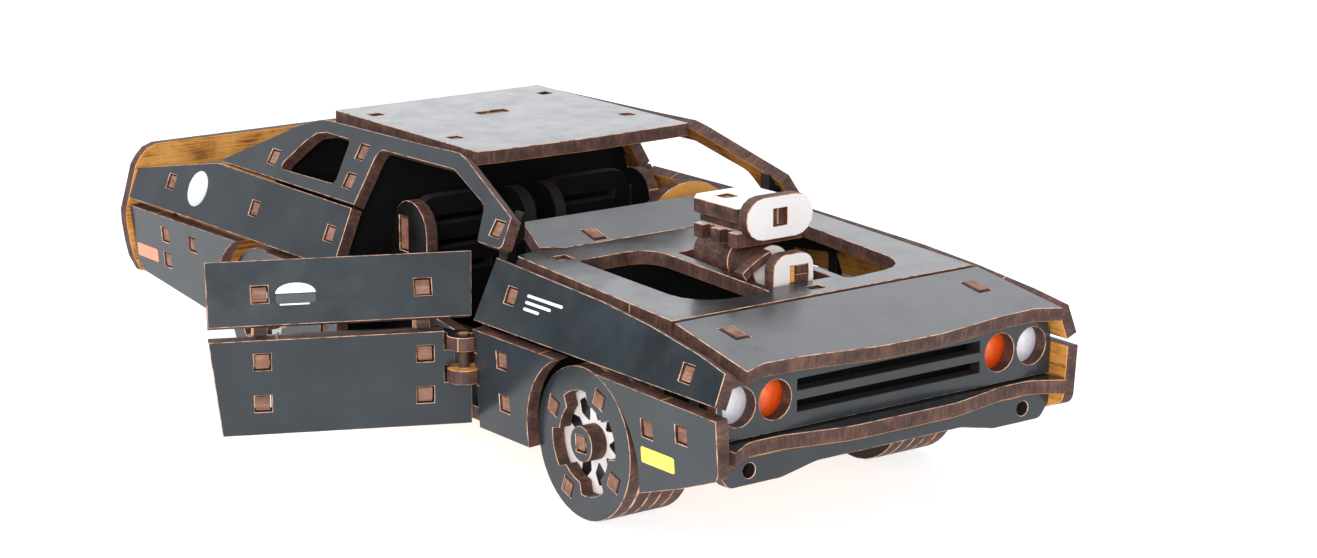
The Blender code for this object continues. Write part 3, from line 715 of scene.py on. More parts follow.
def shade(obj: bpy.types.Object, weld: bool = False) -> bpy.types.Object:
    """Smooths curved sides and keeps corners over 35 degrees sharp.

    Args:
        obj: The finished piece.
        weld: Whether its doubles are merged and its faces turned outwards first.

    Returns:
        The same object.
    """
    if weld:
        bm = bmesh.new()
        bm.from_mesh(obj.data)
        bmesh.ops.remove_doubles(bm, verts=bm.verts, dist=0.0005 * MM)
        bmesh.ops.dissolve_degenerate(bm, edges=bm.edges, dist=0.0005 * MM)
        bmesh.ops.recalc_face_normals(bm, faces=bm.faces)
        bm.to_mesh(obj.data)
        bm.free()
    obj.data.shade_smooth()
    obj.data.set_sharp_from_angle(angle=math.radians(35.0))
    return obj


def board(
    name: str,
    plane: Plane,
    loops: list[np.ndarray],
    look: BoardLook,
    thick: float = SHEET,
    chamfer: float = CHAMFER,
) -> bpy.types.Object:
    """A laser-cut board: a small profile carried along each of its loops, and two flat faces.

    The profile goes from the printed face, in by the chamfer, down the cut to the rear face:
    point(i, k) = inset(loop, w_k) at depth d_k, for the four pairs (w_k, d_k).

    Args:
        name: The piece's name.
        plane: Where the printed face lies.
        loops: Outlines and holes in the plane's millimetres, with the sheet on their left.
        look: The board's materials.
        thick: Its thickness.
        chamfer: Width of the burnt line round the printed face.

    Returns:
        The board as an object.
    """
    profile = [(chamfer, 0.0), (0.0, chamfer), (0.0, thick - chamfer), (chamfer, thick)]
    points, faces, slots, cut = [], [], [], []
    tops, bottoms, base = [], [], 0
    drift = float(np.abs(plane.origin).sum())
    for loop in loops:
        count = len(loop)
        rows = [plane.at(inset(loop, w), d) for w, d in profile]
        points += rows
        index = base + np.arange(4 * count).reshape(4, count)
        base += 4 * count
        tops.append(index[0])
        bottoms.append(index[3])
        length = np.linalg.norm(np.roll(loop, -1, axis=0) - loop, axis=1)
        start = drift + np.concatenate([[0.0], np.cumsum(length)])[:-1]
        end = start + length
        # Narrow holes get the near-black char on their walls: painted shade.
        if is_narrow(loop):
            strips = [np.full(count, LINE if count >= ROUND_CORNERS else SOOT_AND_SHADE)]
            strips += [np.full(count, SOOT_AND_SHADE)] * 2
        else:
            strips = [np.full(count, LINE), np.where(tab_tips(loop), TAB, EDGE)]
            strips.append(np.full(count, BACK))
        for k, strip in enumerate(strips):
            here, there = index[k], index[k + 1]
            quads = [here, there, np.roll(there, -1), np.roll(here, -1)]
            faces += np.stack(quads, axis=1).tolist()
            slots.append(strip)
            near, far = profile[k][1], profile[k + 1][1]
            sides = [(start, near), (start, far), (end, far), (end, near)]
            corners = [np.stack([along, np.full(count, d)], axis=1) for along, d in sides]
            cut.append(np.stack(corners, axis=1).reshape(-1, 2))
    flat = np.concatenate([inset(loop, chamfer) for loop in loops])
    polygons = [[Vector((*p, 0.0)) for p in inset(loop, chamfer)] for loop in loops]
    triangles = np.array(tessellate_polygon(polygons), int)
    a, b, c = (flat[triangles[:, i]] for i in range(3))
    turned_over = cross2(b - a, c - a) < 0.0
    triangles[turned_over] = triangles[turned_over][:, ::-1]
    for cap, slot, order in ((tops, FRONT, 1), (bottoms, BACK, -1)):
        ordered = triangles[:, ::order]
        faces += np.concatenate(cap)[ordered].tolist()
        slots.append(np.full(len(ordered), slot))
        cut.append(flat[ordered].reshape(-1, 2))
    obj = make_object(
        name, np.concatenate(points), faces, look.slots, np.concatenate(slots), np.concatenate(cut)
    )
    return shade(obj)


def turned(
    name: str,
    plane: Plane,
    profile: list[tuple[float, float]],
    bands: list[int],
    materials: list[Material],
    count: int = 64,
    ring: bool = False,
) -> bpy.types.Object:
    """A part turned about its plane's normal.

    point(a, s) = origin + r(s) (u cos a + v sin a) - h(s) n, for a from 0 to 360 degrees and
    s along the profile.

    Args:
        name: The piece's name.
        plane: Its axis is this plane's normal, and heights go back from the plane.
        profile: Radius r and depth h of each profile point.
        bands: Material slot of the band that starts at each profile point.
        materials: The material slots.
        count: How many steps go round.
        ring: Whether the profile closes on itself, as round a bore.

    Returns:
        The part as an object.
    """
    shape = np.array(profile)
    angle = np.linspace(0.0, 2 * math.pi, count, endpoint=False)
    ring_flat = np.stack([np.cos(angle), np.sin(angle)], axis=1)
    rows = [plane.at(radius * ring_flat, depth) for radius, depth in profile]
    index = np.arange(len(profile) * count).reshape(len(profile), count)
    ends = np.roll(shape, -1, axis=0) if ring else shape[1:]
    starts = shape if ring else shape[:-1]
    length = np.linalg.norm(ends - starts, axis=1)
    reach = np.concatenate([[0.0], np.cumsum(length)])
    faces, slots, cut = [], [], []
    drift = float(np.abs(plane.origin).sum())
    for k in range(len(starts)):
        here, there = index[k], index[(k + 1) % len(profile)]
        quads = [here, there, np.roll(there, -1), np.roll(here, -1)]
        faces += np.stack(quads, axis=1).tolist()
        slots.append(np.full(count, bands[k]))
        wide = max(starts[k][0], ends[k][0])
        along = drift + angle * wide
        onward = along + wide * 2 * math.pi / count
        sides = [(along, 0.0), (along, 1.0), (onward, 1.0), (onward, 0.0)]
        corners = [np.stack([a, np.full(count, reach[k] + d * length[k])], 1) for a, d in sides]
        cut.append(np.stack(corners, axis=1).reshape(-1, 2))
    points = np.concatenate(rows)
    obj = make_object(name, points, faces, materials, np.concatenate(slots), np.concatenate(cut))
    return shade(obj, weld=True)


def box_loop(a: float, b: float, width: float, height: float, turn: float = 0.0) -> np.ndarray:
    """A rectangle about (a, b).

    Args:
        a: Its middle's first coordinate.
        b: Its middle's second coordinate.
        width: Its size along u before the turn.
        height: Its size along v before the turn.
        turn: Its turn in degrees.

    Returns:
        Its four corners, with its inside on the left.
    """
    corners = np.array([(-1, -1), (1, -1), (1, 1), (-1, 1)]) * (width / 2, height / 2)
    c, s = math.cos(math.radians(turn)), math.sin(math.radians(turn))
    return corners @ np.array([[c, s], [-s, c]]) + (a, b)


def round_loop(a: float, b: float, radius: float, count: int = 32) -> np.ndarray:
    """A circle about (a, b): (a + r cos t, b + r sin t)."""
    t = np.linspace(0.0, 2 * math.pi, count, endpoint=False)
    return np.stack([a + radius * np.cos(t), b + radius * np.sin(t)], axis=1)


def pill_loop(a: float, b: float, width: float, height: float, radius: float) -> np.ndarray:
    """A rectangle about (a, b) with a quarter circle at each corner.

    Args:
        a: Its middle's first coordinate.
        b: Its middle's second coordinate.
        width: Its size along u.
        height: Its size along v.
        radius: The corners' radius.

    Returns:
        Its outline, with its inside on the left.
    """
    t = np.radians(np.concatenate([np.linspace(q, q + 90.0, 6) for q in (180, 270, 0, 90)]))
    sign_a = np.repeat([-1, 1, 1, -1], 6) * (width / 2 - radius)
    sign_b = np.repeat([-1, -1, 1, 1], 6) * (height / 2 - radius)
    return np.stack([a + sign_a + radius * np.cos(t), b + sign_b + radius * np.sin(t)], axis=1)


def band_loop(line: np.ndarray, half: float) -> np.ndarray:
    """A strip of even width: an open line moved to its right, and back along its left.

    Args:
        line: Points along its middle.
        half: Half its width.

    Returns:
        Its outline, with its inside on the left.
    """
    step = np.gradient(line, axis=0)
    step /= np.linalg.norm(step, axis=1, keepdims=True)
    left = np.stack([-step[:, 1], step[:, 0]], axis=1)
    return np.concatenate([line - half * left, (line + half * left)[::-1]])


def hole(loop: np.ndarray) -> np.ndarray:
    """The same loop as a hole, with the sheet on its left."""
    return loop[::-1]


# Reading the CAD --------------------------------------------------------------------------


@dataclass
class CadModel:
    """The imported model, and how its nodes become dressed pieces."""

    frame: dict

    def body_of(self, node: str) -> str:
        """The body that a node rides on."""
        return self.frame["nodes"][node]["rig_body"]

    def triangles(self, node: str) -> tuple[np.ndarray, np.ndarray]:
        """Reads a node's mesh.

        Args:
            node: The CAD node.

        Returns:
            Its merged points in shop millimetres, and its triangles.
        """
        mesh = self.frame["nodes"][node].data
        mesh.calc_loop_triangles()
        points = np.empty(len(mesh.vertices) * 3, np.float32)
        mesh.vertices.foreach_get("co", points)
        corners = np.empty(len(mesh.loop_triangles) * 3, np.int32)
        mesh.loop_triangles.foreach_get("vertices", corners)
        places = np.round(points.reshape(-1, 3).astype(float) / MM + MODEL_ORIGIN, 3)
        merged, index = np.unique(places, axis=0, return_inverse=True)
        return merged, index.reshape(-1)[corners].reshape(-1, 3)

    def read_board(self, node: str, facing: np.ndarray) -> tuple[Plane, list[np.ndarray]]:
        """Finds a board's printed face and the loops round it.

        The loops are the directed edges that only one triangle of that face uses, chained
        from end to end, so the sheet lies on their left.

        Args:
            node: The CAD node.
            facing: Roughly the way its printed face looks.

        Returns:
            The face's plane and its loops in that plane.
        """
        points, triangles = self.triangles(node)
        a, b, c = (points[triangles[:, i]] for i in range(3))
        normals = np.cross(b - a, c - a)
        area = np.linalg.norm(normals, axis=1)
        toward = normals @ facing > 0.7 * area
        n = normals[toward].sum(axis=0)
        n /= np.linalg.norm(n)
        level = (points @ n)[triangles].max(axis=1)
        flush = (normals @ n > 0.999 * area) & (area > 0.0)
        face = triangles[flush & (level > level[flush].max() - 0.05)]
        up = np.array(Toward.REAR.value if abs(n[2]) > 0.8 else Toward.UP.value)
        v = up - (up @ n) * n
        v /= np.linalg.norm(v)
        plane = Plane(points[face].reshape(-1, 3).mean(axis=0), np.cross(v, n), v)
        edges = np.concatenate([face[:, [0, 1]], face[:, [1, 2]], face[:, [2, 0]]])
        codes = edges[:, 0] * len(points) + edges[:, 1]
        back = edges[:, 1] * len(points) + edges[:, 0]
        onward = dict(edges[~np.isin(codes, back)].tolist())
        loops = []
        while onward:
            start, ahead = onward.popitem()
            chain = [start]
            while ahead != start:
                chain.append(ahead)
                ahead = onward.pop(ahead)
            away = points[chain] - plane.origin
            loops.append(self.tidy(np.stack([away @ plane.u, away @ plane.v], axis=1)))
        return plane, loops

    @staticmethod
    def tidy(loop: np.ndarray) -> np.ndarray:
        """A loop without the points that lie on a straight run."""
        step = unit_steps(loop)
        return loop[np.abs(cross2(np.roll(step, 1, axis=0), step)) > 0.002]

    def add(
        self,
        name: str,
        plane: Plane,
        loops: list[np.ndarray],
        look: BoardLook,
        slot: str,
        body: str = BODY,
        thick: float = SHEET,
        chamfer: float = CHAMFER,
    ) -> None:
        """Makes a board that stands for no CAD node, and keeps it."""
        self.keep(board(name, plane, loops, look, thick, chamfer), body, slot)

    def keep(
        self, piece: bpy.types.Object, body: str, slot: str, *nodes: str
    ) -> bpy.types.Object:
        """Makes a piece part of the object.

        Args:
            piece: The finished piece.
            body: The body that it rides on.
            slot: Not used.
            nodes: CAD nodes that it stands for.

        Returns:
            The same piece.
        """
        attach(piece, body)
        if nodes:
            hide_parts(*nodes)
        LOG.info("%s on %s, %d faces", piece.name, body, len(piece.data.polygons))
        return piece

    def dress(
        self, node: str, facing: np.ndarray | tuple, look: BoardLook, slot: str
    ) -> bpy.types.Object:
        """Stands a finely made board in for one flat CAD node."""
        piece = board(f"{node}_board", *self.read_board(node, np.array(facing)), look)
        return self.keep(piece, self.body_of(node), slot, node)

    def dress_joined(
        self,
        node: str,
        faces: list[tuple[np.ndarray, int]],
        look: BoardLook,
        slot: str,
        least: float = 14.0,
    ) -> bpy.types.Object:
        """Stands a finely made piece in for a CAD node of several boards in one body.

        A flat region is a board's face if it looks along one of the given directions and is
        large enough. All else is a cut edge, and each border between the two gets a burnt
        line.

        Args:
            node: The CAD node.
            faces: Directions of the boards' faces, each with its slot in the look.
            look: The materials.
            slot: The record's material slot.
            least: Smallest area of a board's face, in square millimetres.

        Returns:
            The new piece.
        """
        bm = bmesh.new()
        bm.from_mesh(self.frame["nodes"][node].data)
        bmesh.ops.remove_doubles(bm, verts=bm.verts, dist=0.001 * MM)
        bmesh.ops.dissolve_limit(
            bm, angle_limit=math.radians(0.5), verts=bm.verts, edges=bm.edges
        )
        uv = bm.loops.layers.uv.new(CUT_MAP)
        flat = {}
        for face in bm.faces:
            face.material_index = EDGE
            for direction, material in faces:
                if face.normal.dot(Vector(direction)) > 0.999 and face.calc_area() > least * MM**2:
                    face.material_index = material
                    flat[face] = direction
            if face not in flat and len(face.verts) == 4 and 8.4 < face.calc_area() / MM**2 < 9.6:
                face.material_index = TAB
            along = min((d for d, _ in faces), key=lambda d: abs(face.normal.dot(Vector(d))))
            across = Vector(along).cross(face.normal)
            for loop in face.loops:
                place = loop.vert.co / MM
                loop[uv].uv = (place.dot(across), place.dot(Vector(along)) % SHEET)
        borders = [
            e
            for e in bm.edges
            if len(e.link_faces) == 2 and sum(f in flat for f in e.link_faces) == 1
        ]
        bmesh.ops.bevel(
            bm,
            geom=borders,
            offset=CHAMFER * MM,
            segments=1,
            profile=0.5,
            affect="EDGES",
            material=LINE,
            clamp_overlap=True,
        )
        mesh = bpy.data.meshes.new(f"{node}_boards")
        bm.to_mesh(mesh)
        bm.free()
        for material in look.slots:
            mesh.materials.append(material)
        obj = bpy.data.objects.new(mesh.name, mesh)
        bpy.context.scene.collection.objects.link(obj)
        return self.keep(shade(obj), self.body_of(node), slot, node)


# Sub-assemblies ---------------------------------------------------------------------------


@dataclass(frozen=True)
class Skin:
    """A leaning side wall: its lean in degrees, and its half-width at one height."""

    lean: float
    half: float
    foot: float

    def plane(self, side: Side) -> Plane:
        """The wall's printed face.

        Args:
            side: The side of the car.

        Returns:
            Its plane; u is y on the left side and -y on the right.
        """
        sign, lean = side.value, math.radians(self.lean)
        v = np.array([-sign * math.sin(lean), 0.0, math.cos(lean)])
        return Plane(np.array([sign * self.half, 0.0, self.foot]), sign * ALONG, v)

    def flat(self, side: Side, y: float, z: float) -> tuple[float, float]:
        """Flat place of a point on the wall, from its y and its true height."""
        return side.value * y, (z - self.foot) / math.cos(math.radians(self.lean))


LOWER = Skin(-4.0, 47.5, 33.5)
UPPER = Skin(22.0, 47.5, 34.8)


@dataclass
class Assembly:
    """A group of pieces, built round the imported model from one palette."""

    cad: CadModel
    palette: Palette


@dataclass
class Shell(Assembly):
    """The body's boards: skins, top panels, nose and cross frames."""

    ahead: tuple[str, ...] = (
        "front_frame",
        "firewall",
        "dash_panel",
        "seat_bulkhead",
        "rear_frame",
        "grille_panel",
        "lamp_board",
        "front_valance",
    )
    astern: tuple[str, ...] = ("trunk_frame", "tail_panel")
    lying: tuple[str, ...] = (
        "front_bumper",
        "nose_panel",
        "hood_panel",
        "cowl_panel",
        "roof_panel",
        "floor_plate",
    )
    # Boards inside the car that take the near-black painted shade.
    dark: tuple[str, ...] = (
        "firewall",
        "dash_panel",
        "seat_bulkhead",
        "rear_frame",
        "front_frame",
        "lamp_board",
    )
    outward: tuple[str, ...] = (
        "front_corner",
        "lower_fender",
        "rear_sill",
        "lower_quarter",
        "upper_fender",
        "upper_quarter",
        "cabin_side",
    )

    def build(self) -> None:
        """Dresses every board of the shell."""
        groups = {Toward.FRONT: self.ahead, Toward.REAR: self.astern, Toward.UP: self.lying}
        for toward, names in groups.items():
            for name in names:
                slot = "raw_plywood" if name == "floor_plate" else "printed_slate"
                look = self.palette.dark_board if name in self.dark else self.palette.board
                self.cad.dress(name, toward.value, look, slot)
        for side in Side:
            outward = (side.value, 0.0, 0.0)
            for part in self.outward:
                node, look = f"{side.word}_{part}", self.palette.board
                # The cabin sides' inner faces get the darker raw face: painted shade.
                if part == "cabin_side":
                    look = replace(look, back=self.palette.smoky)
                self.cad.dress(node, outward, look, "printed_slate")
            rail = f"{side.word}_chassis_rail"
            self.cad.dress(rail, outward, self.palette.raw_board, "raw_plywood")


@dataclass
class TabEnds(Assembly):
    """Ends of tabs whose boards lie out of sight, in the slots that they fill."""

    recess: float = 0.35
    deep_recess: float = 1.4
    proud: float = 0.3
    size: float = 2.95
    roof_z: float = 64.9
    roof_x: float = 23.7
    roof_y: tuple[float, float] = (77.5, 111.3)
    brace_x: tuple[float, float] = (31.7, 16.3)
    brace_y: tuple[float, float] = (-33.7, 34.8)
    brace_length: tuple[float, float] = (5.2, 4.5)
    bonnet_yz: tuple[float, float] = (-20.0, 46.05)
    bonnet_length: float = 2.1
    quarter_yz: tuple[float, float] = (159.9, 28.3)

    def fill(self, name: str, plane: Plane, loops: list[np.ndarray], raised: float) -> None:
        """Puts tab ends in a face's slots, raised above the face or sunk below it."""
        self.cad.add(name, plane.raised(raised), loops, self.palette.plug, "charred_edge")

    def build(self) -> None:
        """Fills the slots of the roof, the nose, the cowl, the bonnet and the quarters."""
        size = self.size
        sunk = (self.recess, self.deep_recess)
        for word, y, depth in zip(("front", "rear"), self.roof_y, sunk):
            ends = [box_loop(x, y, size, size) for x in (-self.roof_x, self.roof_x)]
            self.fill(f"roof_{word}_tab_ends", level_plane(self.roof_z), ends, -depth)
        tops = ("nose_panel", "cowl_panel")
        for top, x, y, length in zip(tops, self.brace_x, self.brace_y, self.brace_length):
            plane, _ = self.cad.read_board(top, UP)
            v = (y - plane.origin[1]) / plane.v[1]
            ends = [box_loop(s * x, v, size, length) for s in (-1.0, 1.0)]
            centred = replace(plane, origin=plane.origin * (0.0, 1.0, 1.0))
            self.fill(f"{top}_brace_ends", centred, ends, self.proud)
        y, z = self.bonnet_yz
        ends = [box_loop(0.0, y, size, self.bonnet_length)]
        self.fill("bonnet_tab_end", level_plane(z), ends, -self.recess)
        for side in Side:
            ends = [box_loop(*LOWER.flat(side, *self.quarter_yz), size, size)]
            self.fill(f"{side.word}_quarter_tab_end", LOWER.plane(side), ends, -self.recess)


@dataclass
class Prints(Assembly):
    """Markings printed on the skins: markers, fuel caps, door handles and pinstripes."""

    marker: tuple[float, float] = (10.8, 3.3)
    front_marker_yz: tuple[float, float] = (-28.7, 20.2)
    rear_marker_yz: tuple[float, float] = (184.3, 21.9)
    cap_radius: float = 4.4
    cap_yz: tuple[float, float] = (160.6, 41.8)
    cap_tones: tuple[str, str, str] = ("#FFFFFF", "#E9E9EC", "#B9BCC2")
    handle_chord: tuple[float, float] = (68.9, 77.3)
    handle_foot: float = 41.6
    handle_top: float = 43.6
    handle_line: tuple[float, float] = (6.2, 0.32)
    handle_line_drop: float = 2.35
    handle_line_shift: float = 0.3
    recess_drop: float = 1.15
    recess_height: float = 1.9
    pinstripe_y: tuple[float, float] = (6.8, 19.4)
    pinstripe_width: float = 0.62
    pinstripes: tuple[tuple[float, float], ...] = ((43.2, 1.0), (41.9, 0.72), (40.6, 0.44))

    def patch(
        self,
        name: str,
        plane: Plane,
        loops: list[np.ndarray],
        look: BoardLook,
        body: str = "car_body",
        proud: float = FILM_PROUD,
    ) -> None:
        """Lays a film of ink on a printed face, and lets it stand proud by so much."""
        place = plane.raised(proud)
        self.cad.add(name, place, loops, look, "printed_white", body, FILM, FILM_CHAMFER)

    def build(self) -> None:
        """Prints both sides of the car."""
        inks = self.palette
        yellow = inks.ink("yellow_marker_ink", "#FFE65A", "#FBDD4C")
        salmon = inks.ink("salmon_marker_ink", "#FF8A66", "#F57E5A")
        white = inks.ink("white_marking_ink", "#F4F3F3", "#E9E8E8")
        grey = inks.ink("handle_shadow_ink", "#3A4246", "#434B4F")
        silver = inks.disc("silver_fuel_cap_ink", self.cap_tones, self.cap_radius)
        for side in Side:
            word, lower, upper = side.word, LOWER.plane(side), UPPER.plane(side)
            loop = pill_loop(*LOWER.flat(side, *self.front_marker_yz), *self.marker, 0.5)
            self.patch(f"{word}_front_marker", lower, [loop], yellow)
            loop = pill_loop(*LOWER.flat(side, *self.rear_marker_yz), *self.marker, 0.5)
            self.patch(f"{word}_rear_marker", lower, [loop], salmon)
            place = np.array([UPPER.flat(side, *self.cap_yz)])
            centred = replace(upper, origin=upper.at(place, 0.0)[0])
            loop = round_loop(0.0, 0.0, self.cap_radius, 40)
            self.patch(f"{word}_fuel_cap", centred, [loop], silver)
            self.patch(f"{word}_pinstripes", upper, self.pinstripe_loops(side), white)
            self.print_handle(side, white, grey)

    def pinstripe_loops(self, side: Side) -> list[np.ndarray]:
        """Three bars under each other, each shorter than the one above it.

        Args:
            side: The side of the car.

        Returns:
            The bars' outlines in the upper skin's plane.
        """
        front, rear = self.pinstripe_y
        bars = []
        for height, share in self.pinstripes:
            y = (front + rear) / 2 + (1.0 - share) * (rear - front) / 2
            size = (share * (rear - front), self.pinstripe_width)
            bars.append(pill_loop(*UPPER.flat(side, y, height), *size, 0.3))
        return bars

    def print_handle(self, side: Side, white: BoardLook, grey: BoardLook) -> None:
        """Prints a door handle: a half ellipse over a grey hollow with a line below it.

        The half ellipse is (a + r cos t, b + h sin t), for t from 0 to 180 degrees.

        Args:
            side: The side of the car.
            white: The ink of the half ellipse and the line.
            grey: The ink of the hollow.
        """
        word, body = side.word, f"{side.word}_door"
        door = UPPER.plane(side).swung(RIGHT_DOOR_OPEN if side is Side.RIGHT else 0.0)
        radius = (self.handle_chord[1] - self.handle_chord[0]) / 2
        a, b = UPPER.flat(side, sum(self.handle_chord) / 2, self.handle_foot)
        rise = UPPER.flat(side, 0.0, self.handle_top)[1] - b
        t = np.linspace(0.0, math.pi, 20)
        dome = np.stack([a + radius * np.cos(t), b + rise * np.sin(t)], axis=1)
        shift = self.handle_line_shift * side.value
        line = box_loop(a + shift, b - self.handle_line_drop, *self.handle_line)
        self.patch(f"{word}_handle_dome", door, [dome], white, body)
        self.patch(f"{word}_handle_line", door, [line], white, body)
        hollow = pill_loop(a, b - self.recess_drop, 2 * radius, self.recess_height, 0.6)
        self.patch(f"{word}_handle_recess", door, [hollow], grey, body, FILM_PROUD * 0.4)


@dataclass
class Lamps(Assembly):
    """Printed lamp discs, glued to the lamp board so that they lie right behind the grille."""

    height: float = 32.9
    radius: float = 4.4
    indicator_x: float = 29.4
    headlamp_x: float = 38.3
    board_face_y: float = -38.3
    thick: float = 2.1
    orange: tuple[str, str, str] = ("#FF8A3C", "#E8590F", "#B23A08")
    white: tuple[str, str, str] = ("#FFFFFF", "#F0EFF3", "#B4B1BC")
    fog_radius: float = 3.2
    fog_thick: float = 1.0

    def build(self) -> None:
        """Glues two discs to each side of the lamp board, and backs the fog lamp holes."""
        kinds = (
            (self.indicator_x, self.orange, "indicator"),
            (self.headlamp_x, self.white, "headlamp"),
        )
        disc = [round_loop(0.0, 0.0, self.radius, 40)]
        for side in Side:
            for x, tones, word in kinds:
                face_y = self.board_face_y - self.thick
                plane = cross_plane(face_y, side.value * x, self.height)
                name = f"{side.word}_{word}_print"
                look = self.palette.lamp(f"{name}_ink", tones, self.radius)
                self.cad.add(name, plane, disc, look, "printed_white", BODY, self.thick, 0.05)
        self.build_fog_lamps()

    def build_fog_lamps(self) -> None:
        """Closes each small hole of the front valance with a black disc behind it."""
        plane, loops = self.cad.read_board("front_valance", -ALONG)
        middles = [loop.mean(axis=0) for loop in loops if is_narrow(loop)]
        discs = [round_loop(*middle, self.fog_radius) for middle in middles]
        # The discs are near black as painted shade in the holes.
        behind, look = plane.raised(-SHEET - 0.02), self.palette.dark_board
        slot = "printed_slate"
        self.cad.add("fog_lamp_discs", behind, discs, look, slot, BODY, self.fog_thick)


@dataclass
class Engine(Assembly):
    """The blower through the bonnet: white plates round a barrel of stacked discs."""

    axis_z: float = 47.6
    barrel_radius: float = 4.5
    barrel_front_y: float = -2.6
    barrel_groove: float = 0.2
    discs: int = 6
    pale_seam: int = 2
    spacer: tuple[float, float, float, float] = (0.0, 3.2, 12.6, 14.4)
    spacer_z: float = 57.95
    pulley_radius: float = 4.8
    pulley_y: float = -5.7
    arm_y: float = -9.2
    face_end: tuple[float, float, float, float] = (0.1, 58.9, 3.6, 3.6)
    face_end_y: float = -7.3
    top_end: tuple[float, float, float, float] = (-2.0, 6.9, 3.0, 3.0)
    top_end_z: float = 60.6
    tongue: tuple[float, float, float, float] = (2.3, -10.9, 3.0, 3.6)
    tongue_tops: tuple[float, float] = (49.35, 47.4)
    strip: tuple[float, float, float, float] = (-0.05, 47.5, 1.3, 3.5)
    strip_y: float = -12.6

    def build(self) -> None:
        """Builds the blower's plates, barrel, pulley, idler arm and tongues."""
        white, brown = self.palette.white_board, self.palette.brown_board
        add = self.cad.add
        for name in ("scoop_face", "engine_front_plate"):
            self.cad.dress(name, Toward.FRONT.value, white, "printed_white")
        for name in ("scoop_top_slab", "scoop_base_slab"):
            self.cad.dress(name, Toward.UP.value, white, "printed_white")
        self.build_barrel()
        plane, loop = level_plane(self.spacer_z), box_loop(*self.spacer)
        add("scoop_spacer", plane, [loop], brown, "charred_edge", thick=2.2)
        plane = cross_plane(self.pulley_y)
        loop = round_loop(0.0, self.axis_z, self.pulley_radius, 40)
        add("blower_pulley", plane, [loop], white, "printed_white", thick=2.9)
        plane, loop = cross_plane(self.arm_y), self.arm_loop()
        add("idler_arm", plane, [loop], brown, "charred_edge", thick=2.9)
        plane, loop = cross_plane(self.face_end_y), box_loop(*self.face_end)
        add("scoop_face_tab_end", plane, [loop], brown, "charred_edge")
        plane, loop = level_plane(self.top_end_z), box_loop(*self.top_end)
        add("scoop_top_tab_end", plane, [loop], self.palette.plug, "charred_edge", thick=2.5)
        look, loop = replace(brown, line=self.palette.line), box_loop(*self.tongue)
        for word, z in zip(("upper", "lower"), self.tongue_tops):
            name = f"engine_{word}_tongue"
            add(name, level_plane(z), [loop], look, "charred_edge", thick=1.8)
        look = replace(self.palette.raw_board, line=self.palette.raw)
        plane, loop = cross_plane(self.strip_y), box_loop(*self.strip)
        add("engine_tongue_strip", plane, [loop], look, "raw_plywood", thick=2.4)

    def arm_loop(self) -> np.ndarray:
        """The idler arm's outline: a band along a parabola that climbs towards the pulley."""
        t = np.linspace(0.0, 0.62, 15)
        return band_loop(np.stack([-9.9 + 11.6 * t, 47.6 + 8.4 * t - 3.9 * t**2], axis=1), 0.95)

    def build_barrel(self) -> None:
        """Turns the barrel: each disc is a cut edge between two grooves."""
        plane = cross_plane(self.barrel_front_y, 0.0, self.axis_z)
        radius, groove = self.barrel_radius, self.barrel_groove
        profile = [(0.0, 0.0)]
        for layer in range(self.discs):
            near, far = layer * SHEET, (layer + 1) * SHEET
            profile += [(radius - groove, near), (radius, near + groove), (radius, far - groove)]
        profile += [(radius - groove, self.discs * SHEET), (0.0, self.discs * SHEET)]
        bands = [0] * (3 * self.discs + 2)
        bands[3 * self.pale_seam] = bands[3 * self.pale_seam + 1] = 1
        materials = [self.palette.char, self.palette.line]
        piece = turned("blower_barrel_discs", plane, profile, bands, materials, 48)
        self.cad.keep(piece, BODY, "charred_edge", "blower_barrel")


